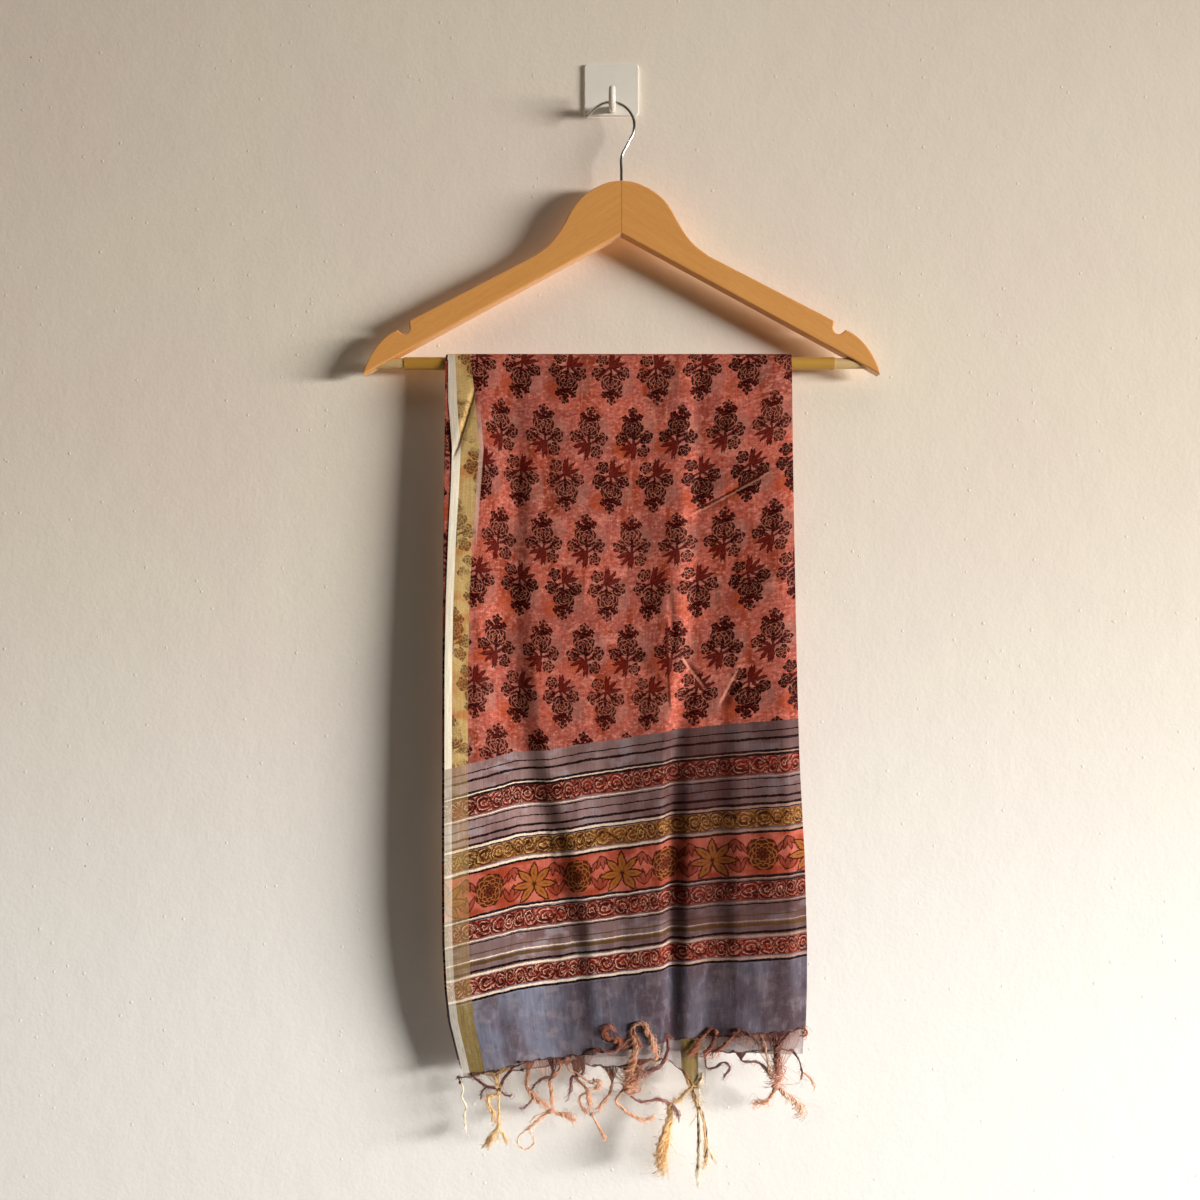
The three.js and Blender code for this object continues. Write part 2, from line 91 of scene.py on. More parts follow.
class Finish:
    """A material being made up: its nodes, and short ways to add to them."""

    def __init__(self, name):
        self.material = bpy.data.materials.new(name)
        self.material.use_nodes = True
        self.tree = self.material.node_tree
        self.shader = self.tree.nodes["Principled BSDF"]

    def feed(self, socket, value):
        """Joins a measure to a socket, or sets a plain value on it."""
        if isinstance(value, Measure):
            self.tree.links.new(value.socket, socket)
        else:
            socket.default_value = value

    def node(self, kind, feeds, out=0, **settings):
        """Adds a node, sets and joins its inputs, and gives one of its outputs."""
        made = self.tree.nodes.new("ShaderNode" + kind)
        for key, value in settings.items():
            setattr(made, key, value)
        for key, value in feeds.items():
            self.feed(made.inputs[key], value)
        return Measure(self, made.outputs[out])

    def math(self, kind, *terms):
        """One sum of numbers worked out by a Math node of the given kind."""
        return self.node("Math", dict(enumerate(terms)), operation=kind)

    def point_math(self, kind, *terms, out=0):
        """One sum of points worked out by a Vector Math node of the given kind."""
        return self.node("VectorMath", dict(enumerate(terms)), out, operation=kind)

    def point(self, x, y, z=0.0):
        """A point put together from its three numbers."""
        return self.node("CombineXYZ", {"X": x, "Y": y, "Z": z})

    def parts(self, point):
        """The three numbers of a point or a colour."""
        split = self.node("SeparateXYZ", {"Vector": point}).socket.node
        return [Measure(self, socket) for socket in split.outputs]

    def here(self, stretch=(1, 1, 1)):
        """The place on the object in millimetres, each way times its own stretch."""
        place = self.node("TexCoord", {}, "Object")
        return self.point_math("MULTIPLY", place, [s / MM for s in stretch])

    def noise(self, place, scale, detail=2.0, roughness=0.5):
        """Soft noise round 0.5, with scale lumps to each unit of place."""
        feeds = {"Vector": place, "Scale": scale, "Detail": detail, "Roughness": roughness}
        return self.node("TexNoise", feeds)

    def ease(self, value, low, high):
        """0 below low, 1 above high and a smooth S between; low may be the larger."""
        feeds = {"Value": value, "From Min": low, "From Max": high}
        return self.node("MapRange", feeds, interpolation_type="SMOOTHSTEP")

    def spread(self, value, low, high):
        """A measure from 0 to 1 made one from low to high."""
        return self.node("MapRange", {"Value": value, "To Min": low, "To Max": high})

    def blend(self, share, first, second):
        """The first colour where share is 0, the second where it is 1."""
        return self.node("Mix", {0: share, 6: first, 7: second}, 2, data_type="RGBA")

    def bump(self, height, distance, strength=1.0):
        """The normal of a surface raised by height times distance."""
        feeds = {"Height": height, "Distance": distance, "Strength": strength}
        return self.node("Bump", feeds)

    def wear(self, colour, roughness, normal, **plain):
        """Joins the finish to its shader; plain values are set on the shader itself."""
        self.feed(self.shader.inputs["Base Color"], colour)
        self.feed(self.shader.inputs["Roughness"], roughness)
        self.feed(self.shader.inputs["Normal"], normal)
        for name, value in plain.items():
            self.feed(self.shader.inputs[name.replace("_", " ")], value)
        return self.material


def dye(red, green, blue):
    """A colour from its three strengths out of 255, as light."""
    share = np.array([red, green, blue]) / 255
    light = np.where(share < 0.04045, share / 12.92, ((share + 0.055) / 1.055) ** 2.4)
    return (*light, 1.0)


def dress(node, material):
    """Gives a CAD node a new material in all its slots."""
    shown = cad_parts[node]
    for slot in shown.material_slots:
        slot.material = material
    return shown


def moulded_plastic():
    """White plastic: a little uneven in tone, with the slow ripple of moulding."""
    finish = Finish("moulded_plastic")
    place = finish.here()
    cloud = finish.noise(place, 0.06, 3)
    grain = finish.noise(place, 1.6, 2)
    colour = finish.blend(cloud, dye(226, 221, 212), dye(238, 234, 226))
    normal = finish.bump(cloud * 0.6 + grain * 0.05, 0.4 * MM, 0.6)
    rough = finish.spread(grain, 0.28, 0.4)
    return finish.wear(colour, rough, normal, IOR=1.46)


dress("wall_hook", moulded_plastic())


# ---- Wire hook ------------------------------------------------------------------------
# One length of bright steel wire: a short end, the bow that rests on the peg, a slant
# and a straight shank pushed down the hole between the two halves of the hanger.
WIRE_RADIUS = 1.4
BOW = {"x": -0.5, "z": -39.5, "radius": 20.3, "from": 125, "to": -24}
WIRE_END = (-22.2, -31.7)
KNEE = (8.5, -66.0)
SHANK_FOOT = -104.0


def skin(grid, closed_across, closed_along=False):
    """Faces of a grid of points: each takes four neighbours, in turn round the grid."""
    rows, columns = grid.shape[:2]
    index = np.arange(rows * columns).reshape(rows, columns)
    if closed_across:
        index = np.concatenate([index, index[:, :1]], axis=1)
    if closed_along:
        index = np.concatenate([index, index[:1]], axis=0)
    faces = [index[:-1, :-1], index[:-1, 1:], index[1:, 1:], index[1:, :-1]]
    return np.stack(faces, axis=-1).reshape(-1, 4)


def piece(name, points, faces, material):
    """A smooth mesh from points in millimetres, riding on the root body."""
    mesh = bpy.data.meshes.new(name)
    mesh.from_pydata((points.reshape(-1, 3) * MM).tolist(), [], faces)
    mesh.shade_smooth()
    mesh.materials.append(material)
    made = bpy.data.objects.new(name, mesh)
    bpy.context.scene.collection.objects.link(made)
    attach(made, "root")
    return made


def unit(vectors):
    """Each vector over its own length."""
    return vectors / np.maximum(np.linalg.norm(vectors, axis=-1, keepdims=True), 1e-9)


def smooth_course(points, count, until=1.0):
    """A smooth curve through points, as count places evenly spaced by chord length.

    Between two points it is the cubic whose slopes join each point's two neighbours. It
    stops when it has gone the share of the way that until gives.
    """
    points = np.array(points, float)
    chord = np.linalg.norm(np.diff(points, axis=0), axis=1)
    knots = np.concatenate([[0], np.cumsum(chord)])
    slopes = np.gradient(points, knots, axis=0)
    at = np.linspace(0, knots[-1] * until, count)
    i = np.clip(np.searchsorted(knots, at, side="right") - 1, 0, len(knots) - 2)
    gap = (knots[i + 1] - knots[i])[:, None]
    t = (at[:, None] - knots[i][:, None]) / gap
    low, high = points[i], points[i + 1]
    return (
        low * (2 * t**3 - 3 * t**2 + 1)
        + slopes[i] * gap * (t**3 - 2 * t**2 + t)
        + high * (3 * t**2 - 2 * t**3)
        + slopes[i + 1] * gap * (t**3 - t**2)
    )


def tubes(courses, radii, sides):
    """Tubes round many courses at once, all with as many rings.

    courses is (tube, ring, xyz) and radii (tube, ring). A ring is a circle across the
    course, begun on the side away from the wall. Returns points and faces, ends closed.
    """
    ahead = unit(np.gradient(courses, axis=1))
    side = unit(np.cross(ahead, np.array([0.0, 1.0, 0.001])))
    up = np.cross(side, ahead)
    turn = np.arange(sides) * 2 * math.pi / sides
    circle = side[:, :, None] * np.cos(turn)[:, None] + up[:, :, None] * np.sin(turn)[:, None]
    rings = courses[:, :, None] + circle * radii[:, :, None, None]
    tube_count, ring_count = radii.shape
    one = skin(rings[0], closed_across=True)
    step = ring_count * sides
    walls = (one[None] + np.arange(tube_count)[:, None, None] * step).reshape(-1, 4)
    faces = walls[:, ::-1].tolist()
    first = np.arange(sides)
    for k in range(tube_count):
        faces.append((first + k * step).tolist())
        faces.append((first[::-1] + (k + 1) * step - sides).tolist())
    return rings.reshape(-1, 3), faces


def bright_steel():
    """Drawn steel wire: fine lines along it, and slow smears in its shine."""
    finish = Finish("bright_steel")
    draw = finish.noise(finish.here((1, 1, 0.05)), 2.2, 4, 0.7)
    smear = finish.noise(finish.here(), 0.09, 3)
    colour = finish.blend(smear, dye(196, 194, 190), dye(224, 222, 218))
    rough = finish.spread(draw * 0.5 + smear * 0.5, 0.1, 0.34)
    normal = finish.bump(draw, 0.03 * MM, 0.4)
    return finish.wear(colour, rough, normal, Metallic=1.0)


def wire_course():
    """The wire's middle line: end, bow by angle, slant, rounded knee and shank."""
    bar_low, bar_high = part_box("bar_dowel")
    depth = (bar_low.y + bar_high.y) / 2 / MM
    angle = np.radians(np.linspace(BOW["from"], BOW["to"], 25))
    bow_x = BOW["x"] + BOW["radius"] * np.cos(angle)
    bow_z = BOW["z"] + BOW["radius"] * np.sin(angle)
    bow = np.stack([bow_x, bow_z], axis=1)
    slant = bow[-1] + (np.array(KNEE) - bow[-1]) * np.array([[0.3], [0.6], [0.9]])
    shank = [(KNEE[0], z) for z in (KNEE[1] - 2.0, -80.0, SHANK_FOOT)]
    flat = smooth_course([WIRE_END, *bow, *slant, *shank], 160)
    return np.insert(flat, 1, depth, axis=1)


course = wire_course()
points, faces = tubes(course[None], np.full((1, len(course)), WIRE_RADIUS), 20)
wire = piece("hook_wire_bent", points, faces, bright_steel())
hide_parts("hook_wire")


# ---- Wooden hanger --------------------------------------------------------------------
# Two shaped arms of pale hardwood, sawn flat, rounded over, glued on a centre seam and
# lacquered honey brown. The grain runs down each arm, so the halves catch light apart.
ARM_SLOPE = math.radians(33)
GLUE_SET_BACK = 0.3
GLUE_GAP = 0.02
SEAM_REACH = 0.4


def lacquered_wood(name, lean, pale, deep):
    """Honey wood: streaks along the arm, darker pores, and a lacquer over all."""
    finish = Finish(name)
    place = finish.here()
    turned = finish.node(
        "VectorRotate", {"Vector": place, "Angle": lean}, rotation_type="Y_AXIS"
    )
    along = finish.point_math("MULTIPLY", turned, (0.06, 0.5, 1.0))
    streak = finish.noise(along, 0.32, 4, 0.6)
    pores = finish.noise(finish.point_math("MULTIPLY", turned, (0.06, 1, 1)), 2.4, 3, 0.6)
    cloud = finish.noise(place, 0.012, 2)
    body = finish.blend(finish.spread(streak, 0.15, 0.85), deep, pale)
    fleck = finish.ease(pores, 0.6, 0.72)
    body = finish.blend(fleck * 0.3, body, dye(158, 100, 46))
    light = finish.ease(pores, 0.42, 0.3)
    body = finish.blend(light * 0.3, body, dye(244, 196, 130))
    body = finish.blend(finish.ease(cloud, 0.35, 0.75) * 0.35, body, dye(216, 158, 90))
    normal = finish.bump(pores * 0.4 + streak, 0.12 * MM, 0.5)
    rough = finish.spread(streak, 0.42, 0.3)
    return finish.wear(body, rough, normal, Coat_Weight=0.25, Coat_Roughness=0.18)


HONEY_PALE = dye(230, 168, 96)
HONEY_DEEP = dye(202, 136, 68)
dress("hanger_left", lacquered_wood("honey_wood_left", ARM_SLOPE, HONEY_PALE, HONEY_DEEP))
dress("hanger_right", lacquered_wood("honey_wood_right", -ARM_SLOPE, HONEY_PALE, HONEY_DEEP))


def glue_line():
    """The thin line of glue that fills the seam between the two halves."""
    finish = Finish("wood_glue")
    grain = finish.noise(finish.here(), 0.9, 3)
    colour = finish.blend(grain, dye(196, 138, 76), dye(214, 156, 90))
    return finish.wear(colour, 0.5, finish.bump(grain, 0.05 * MM))


# Glue stands a little below the wood all round its rounded edge. The film is one plain
# box, so the wire's shank runs through it inside the wood.
left_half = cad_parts["hanger_left"]
corners = np.array([left_half.matrix_world @ v.co for v in left_half.data.vertices]) / MM
joint = corners[corners[:, 0] > corners[:, 0].max() - SEAM_REACH]
seam_low, seam_high = joint.min(axis=0) + GLUE_SET_BACK, joint.max(axis=0) - GLUE_SET_BACK
right_low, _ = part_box("hanger_right")
seam_x = (joint[:, 0].max() + GLUE_GAP, right_low.x / MM - GLUE_GAP)
seam_y, seam_z = (seam_low[1], seam_high[1]), (seam_low[2], seam_high[2])
box = np.array([(x, y, z) for x in seam_x for y in seam_y for z in seam_z])
sides = [(0, 1, 3, 2), (4, 6, 7, 5), (0, 4, 5, 1), (2, 3, 7, 6), (0, 2, 6, 4), (1, 5, 7, 3)]
piece("seam_glue", box, sides, glue_line())


# ---- Trouser bar ----------------------------------------------------------------------
# A turned dowel of bare pale wood, its ends in the arms, and over it a non-slip sleeve
# of olive-tan plastic tube that stops short of the wood at both ends.
def bar_middle():
    """The middle of the bar across its length, from the dowel in the frame."""
    low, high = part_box("bar_dowel")
    return (low.y + high.y) / 2 / MM, (low.z + high.z) / 2 / MM


BAR_Y, BAR_Z = bar_middle()


def turned_rod(node, edge):
    """A round rod along x that fills a node's box, with its end edges rounded.

    The sleeve is made so too: its ends are closed, and the dowel comes out through them.
    """
    low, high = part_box(node)
    radius = (high.z - low.z) / 2 / MM
    reach = [low.x / MM, low.x / MM + edge, high.x / MM - edge, high.x / MM]
    x = np.concatenate([np.linspace(reach[0], reach[1], 5), np.linspace(reach[2], reach[3], 5)])
    near = np.minimum(x - reach[0], reach[3] - x) / edge
    round_off = edge * (1 - np.sqrt(1 - (1 - np.clip(near, 0, 1)) ** 2))
    course = np.stack([x, np.full(10, BAR_Y), np.full(10, BAR_Z)], axis=1)
    return tubes(course[None], (radius - round_off)[None], 48)


def bare_wood():
    """Unfinished pale wood, its grain along the bar."""
    finish = Finish("bare_wood")
    grain = finish.noise(finish.here((0.04, 1, 1)), 0.9, 4, 0.6)
    colour = finish.blend(grain, dye(186, 152, 98), dye(214, 186, 136))
    return finish.wear(colour, finish.spread(grain, 0.75, 0.6), finish.bump(grain, 0.1 * MM))


def sleeve_plastic():
    """Olive-tan tube of soft plastic, scuffed dull."""
    finish = Finish("sleeve_plastic")
    cloud = finish.noise(finish.here((0.3, 1, 1)), 0.05, 3)
    grain = finish.noise(finish.here(), 1.1, 3)
    colour = finish.blend(cloud, dye(158, 116, 38), dye(200, 152, 62))
    normal = finish.bump(grain, 0.08 * MM, 0.5)
    return finish.wear(colour, finish.spread(grain, 0.38, 0.5), normal)


points, faces = turned_rod("bar_dowel", 0.8)
dowel = piece("bar_dowel_turned", points, faces, bare_wood())
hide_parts("bar_dowel")
points, faces = turned_rod("bar_sleeve", 0.4)
sleeve = piece("bar_sleeve_tube", points, faces, sleeve_plastic())
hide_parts("bar_sleeve")


# ---- Stole ----------------------------------------------------------------------------
# One sheer silk-cotton length, block printed, with woven gold borders and a banded end
# panel. It is folded in three lengthwise and in half over the bar, both ends in front.
# Across the cloth: its edges and folds, as places left or right on the outer layer.
LEFT_EDGE = -142.0
LEFT_FOLD = -143.6
RIGHT_FOLD = 156.0
INNER_SELVEDGE = 78.0
STEEP_PART = (40.0, 88.0)
CREASE = 60.0
CLOTH_LENGTH = 2400.0
PITCH_ON_BAR = 0.45
PITCH_BELOW = 1.4
FIRST_ON_BAR = 6.0
FIRST_BELOW = 6.45
LOOSE_BY = 300.0
FRONT_STEP, STEEP_STEP, HIDDEN_STEP = 2.3, 4, 8
ROW_STEPS = (2.9, 9, 10)
USUAL_DROP = 600
# How the printed row lines bow down from their highest place: how far, and how far off.
BOW_TOP = 10
BOW_LEFT = (12, 130)
BOW_RIGHT = (19, 150)
# Outline by depth below the bar: the left edge, the pressed crease and the right fold.
OUTLINE = np.array(
    [  # down, left, crease, right
        (0, -142.0, 59, 155.5),
        (120, -142.6, 56, 156.5),
        (210, -142.8, 53, 157.5),
        (290, -142.8, 50, 158.8),
        (350, -142.8, 51, 160.5),
        (425, -142.8, 58, 164.4),
        (500, -142.7, 60, 166.8),
        (540, -141.2, 60.6, 166.8),
        (568, -138.4, 61.4, 166.0),
        (618, -127.2, 63, 163.0),
    ]
)
BORDER_SLIP = np.array(
    [  # down, how far the edge slips, and the border's inner side
        (0, 0.8, 0.0),
        (35, 1.2, 4.0),
        (75, 4.9, 7.8),
        (110, 4.2, 5.5),
        (150, 2.4, 3.0),
        (204, 0.8, 0.8),
        (260, 0, 0),
    ]
)
# How far each end edge hangs below the bar, by place across each lengthwise layer.
END_EDGES = {  # place, outer end, inner end
    0: [
        (-142, 617, 604),
        (-112, 610.2, 604),
        (-80, 603, 603),
        (-48, 600.7, 602),
        (-16, 595, 601),
        (16, 591, 599),
        (60, 584, 597.5),
        (104, 578.6, 596),
        (156, 573.2, 598),
    ],
    1: [(-144, 602, 608), (-48, 590, 602), (60, 580, 597), (104, 576, 595), (156, 573.2, 592)],
    2: [
        (-144, 602, 611),
        (-100, 598, 612),
        (-62, 594, 609.5),
        (-38, 593, 605.5),
        (-19, 591, 608.5),
        (4, 588, 607),
        (22, 586, 602),
        (44, 584, 603),
        (58, 580, 613),
        (70, 579, 628),
        (78, 578, 631),
    ],
}
# The drape down the front, as lines of ridge and hollow from left to right. Each has its
# places at the depths of DRAPE_DOWN, then how far it stands out towards the room there.
DRAPE_DOWN = (0, 130, 260, 340, 425, 510, 600)
DRAPE = [
    ((-142, -142, -142, -142, -142, -142, -142), (0.9, 5.0, 7.6, 9.0, 9.6, 7.8, 2.0)),
    ((-118, -118, -118, -118, -118, -112, -108), (0.4, 2.4, 4.6, 6.2, 7.2, 6.0, 1.2)),
    ((-84, -84, -84, -76, -52, -34, -30), (-0.6, -2.6, -4.2, -5.6, -6.4, -5.6, -4.4)),
    ((-70, -68, -64, -54, -29, -14, -8), (0.4, 0.8, 1.2, 1.8, 2.0, 0.6, -0.4)),
    ((-36, -36, -34, -26, -6, 8, 10), (0.8, 1.6, 1.6, 1.4, 1.2, 2.0, 2.8)),
    ((20, 20, 20, 20, 22, 28, 30), (-0.6, -1.2, -0.4, 1.6, 4.2, 2.6, 0.8)),
    ((62, 60, 54, 44, 41, 42, 43), (0.8, 2.6, 3.4, 3.8, 4.2, 2.4, -0.4)),
    ((76, 74, 67, 54, 51, 51, 51), (-1.4, -2.8, -4.0, -6.0, -7.2, -6.6, -4.4)),
    ((86, 84, 80, 70, 67, 66, 64), (-0.9, -1.8, -2.6, -1.6, 0.8, 0.6, -0.4)),
    ((96, 94, 92, 88, 88, 84, 80), (-0.4, -0.9, -1.4, -1.0, -0.4, -2.4, -4.0)),
    ((116, 114, 112, 112, 112, 110, 108), (0.1, 0.6, 1.4, 3.2, 4.8, 4.0, 3.8)),
    ((144, 145, 146, 147, 150, 152, 152), (1.2, 2.8, 5.0, 8.8, 11.0, 9.0, 4.6)),
    ((158, 159, 160, 162, 166, 167, 165), (0, 0.4, 1.2, 2.8, 4.4, 3.4, 1.6)),
]
WAVES = [  # how high, how wide, where it begins, how it leans
    (0.45, 118, 2.2, -0.2),
    (0.25, 61, 1.1, 0.05),
    (0.12, 27, 0.4, 0.15),
]
WAVE_GROWTH = [(0, 0.3), (60, 0.8), (400, 1.2), (620, 2.0)]
CURL = {"x": -92, "width": 60, "down": 470, "height": 170, "depth": 5}
BACK_SHARE = 0.6
HIDDEN_EASE = 6.0
# Creases pressed in while it lay folded: both ends of each, how wide and how deep. A
# trough sinks from the room and a ridge, with a negative depth, stands out.
PRESSED = [  # x, down, x, down, width, depth
    (71, 131, 138, 92, 2.2, 2.8),
    (18, 121, 49, 132, 1.9, -1.6),
    (62, 261, 79, 280, 2.0, 1.9),
    (94, 299, 117, 262, 2.1, 2.1),
    (-57, 4, -54, 140, 7, 0.9),
    (-117, 22, -135, 82, 1.7, 2.4),
    (-53, 400, -46, 438, 2.4, -1.4),
    (20, 250, 52, 300, 4, 1.0),
    (-100, 500, -96, 600, 7, 1.3),
    (-40, 480, -30, 600, 9, -1.5),
    (10, 470, 4, 590, 8, 1.6),
    (96, 470, 104, 575, 8, 1.5),
    (120, 505, 132, 570, 6, -1.2),
    (140, 330, 150, 500, 6, 0.9),
    (49, 190, 56, 306, 2.2, 1.8),
]


def read(table, at, column=1):
    """A table read along straight lines between its rows, and level past its ends."""
    rows = np.array(table, float)
    return np.interp(at, rows[:, 0], rows[:, column])


def ease(value, low, high):
    """0 below low, 1 above high, and between them 3 t^2 - 2 t^3."""
    t = np.clip((value - low) / (high - low), 0, 1)
    return t * t * (3 - 2 * t)


def ladder(low, high, step):
    """Places from low to high, evenly spaced and about a step apart, ends included."""
    return np.linspace(low, high, max(2, round(abs(high - low) / step) + 1))


def cross_section():
    """The lengthwise S fold: for each column its place, layer, bulge, and width so far.

    The three layers run left to right, back, and left to right again. Each fold between
    them is half a circle across one gap between layers.
    """
    turn = np.linspace(0, 1, 8)[1:-1]
    half = (1 - np.cos(math.pi * turn)) / 2
    bulge = np.sin(math.pi * turn) / 2
    fold = np.ones(len(turn))
    front = ladder(LEFT_EDGE, RIGHT_FOLD, FRONT_STEP)
    near, far = STEEP_PART
    steep = ladder(far, near, STEEP_STEP)[1:]
    last = ladder(near, LEFT_FOLD, HIDDEN_STEP)[1:]
    middle = np.concatenate([ladder(RIGHT_FOLD, far, HIDDEN_STEP), steep, last])
    inner = ladder(near, INNER_SELVEDGE, STEEP_STEP)[1:]
    rear = np.concatenate([ladder(LEFT_FOLD, near, HIDDEN_STEP), inner])
    place = np.concatenate([front, RIGHT_FOLD * fold, middle, LEFT_FOLD * fold, rear])
    layer = np.concatenate([0 * front, half, 0 * middle + 1, 1 + half, 0 * rear + 2])
    out = np.concatenate([0 * front, bulge, 0 * middle, -bulge, 0 * rear])
    edge = np.concatenate([0 * front, 0 * fold, 0 * middle + 1, fold, 0 * rear + 2])
    width = np.concatenate([[0], np.cumsum(np.abs(np.diff(place)) + 1.57 * np.abs(np.diff(layer)))])
    return place, layer, out, edge.astype(int), width


PLACE, LAYER, OUT, EDGE, WIDTH = cross_section()


def edge_depth(end, place=PLACE, layer=EDGE):
    """How far an end edge hangs below the bar at each column. end is 1 or 2."""
    depths = [read(END_EDGES[k], place, end) for k in range(3)]
    return np.choose(layer, depths)


def pressed(x, down, hidden):
    """The creases: across each a soft trough, fading out towards both its ends.

    Layers hidden behind the front follow the troughs only, and wider, to stay clear of it.
    """
    rise = np.zeros(np.broadcast(x, down).shape)
    for x0, down0, x1, down1, width, depth in PRESSED:
        run, fall = x1 - x0, down1 - down0
        length = math.hypot(run, fall)
        along = ((x - x0) * run + (down - down0) * fall) / length**2
        across = ((x - x0) * fall - (down - down0) * run) / length
        taper = ease(along, -0.12, 0.2) * ease(-along, -1.12, -0.75)
        share = np.where(hidden, max(depth, 0) * 1.1, depth)
        rise -= share * taper * np.exp(-((across / (width + HIDDEN_EASE * hidden)) ** 2))
    return rise


def drape(x, down):
    """How far the long folds stand out: from line to line it goes as 3 t^2 - 2 t^3.

    The lines' own places and heights run as smooth curves between their depths.
    """
    x, down = np.broadcast_arrays(x, down)
    height = np.zeros(x.shape)
    last = None
    for places, heights in DRAPE:
        line = smooth_course(np.stack([DRAPE_DOWN, places, heights], axis=1), 200)
        here = [np.interp(down, line[:, 0], line[:, k]) for k in (1, 2)]
        if last is None:
            height = here[1]
        else:
            between = last[1] + (here[1] - last[1]) * ease(x, last[0], here[0])
            height = np.where(x > last[0], between, height)
        last = here
    return height


def relief(place, down):
    """How far the cloth stands towards the room: long folds, waves, and the foot's curl."""
    swell = sum(
        high * np.sin(2 * math.pi * (place + lean * down) / wide + begin)
        for high, wide, begin, lean in WAVES
    )
    across = np.clip((CURL["x"] - place) / CURL["width"], 0, 1)
    below = np.clip((down - CURL["down"]) / CURL["height"], 0, 1)
    folds = drape(spread_out(place, down), np.clip(down, 0, DRAPE_DOWN[-1]))
    return read(WAVE_GROWTH, down) * swell + folds - CURL["depth"] * across * below


def slide(place, down):
    """How far the left border slips right where a fold at the top draws it in."""
    edge, border = (np.interp(down, BORDER_SLIP[:, 0], BORDER_SLIP[:, k]) for k in (1, 2))
    drawn = edge + (border - edge) * np.clip((place - LEFT_EDGE) / 20, 0, 1)
    return drawn * (1 - ease(place, LEFT_EDGE + 22, LEFT_EDGE + 58))


def spread_out(place, down):
    """A column's place in the room, as the outline and the crease move with depth."""
    left, crease, right = (np.interp(down, OUTLINE[:, 0], OUTLINE[:, k]) for k in (1, 2, 3))
    near = crease + (place - CREASE) * (crease - left) / (CREASE - LEFT_EDGE)
    far = crease + (place - CREASE) * (right - crease) / (RIGHT_FOLD - CREASE)
    return np.where(place < CREASE, near, far)


def gap(down):
    """How far apart layers hang: pressed close on the bar, looser below it."""
    return PITCH_ON_BAR + (PITCH_BELOW - PITCH_ON_BAR) * ease(down, 0, LOOSE_BY)


def radius(rank, down):
    """How far a layer is from the bar's middle; rank counts layers out from the bar."""
    first = FIRST_ON_BAR + (FIRST_BELOW - FIRST_ON_BAR) * ease(down, 0, LOOSE_BY)
    return first + rank * gap(down)


def in_front(place, out, rank, down):
    """A place on a front drop, in the room."""
    x = spread_out(place, down) + out * gap(down) + np.where(rank == 5, slide(place, down), 0)
    stand = relief(place, down) + pressed(x, down, rank < 5)
    return np.stack([x, BAR_Y - radius(rank, down) - stand, BAR_Z - down], axis=-1)


def behind(place, out, rank, down):
    """A place on a back drop, in the room; its waves are gentler."""
    x = spread_out(place, 0 * down) + out * gap(down)
    y = BAR_Y + radius(rank, down) - BACK_SHARE * relief(place, down)
    return np.stack([x, y, BAR_Z - down], axis=-1)


def over_bar(place, out, rank, angle):
    """A place on the arc over the bar; angle runs from the front, 0, to the back, pi."""
    reach = radius(rank, 0)
    x = spread_out(place, 0) + out * gap(0)
    y = BAR_Y - reach * np.cos(angle)
    z = BAR_Z + reach * np.sin(angle)
    return np.stack(np.broadcast_arrays(x, y, z), axis=-1)


def under_fold(place, out, rank, down, angle):
    """A place on the fold at the foot of the back, round the middle of all six layers."""
    low, high = radius(0, down), radius(5, down)
    arm = radius(rank, down) - (low + high) / 2
    y = BAR_Y + (low + high) / 2 + arm * np.cos(angle) - BACK_SHARE * relief(place, down)
    x = spread_out(place, 0 * down) + out * gap(down)
    z = BAR_Z - down - np.abs(arm) * np.sin(angle)
    return np.stack([x, y, z], axis=-1)


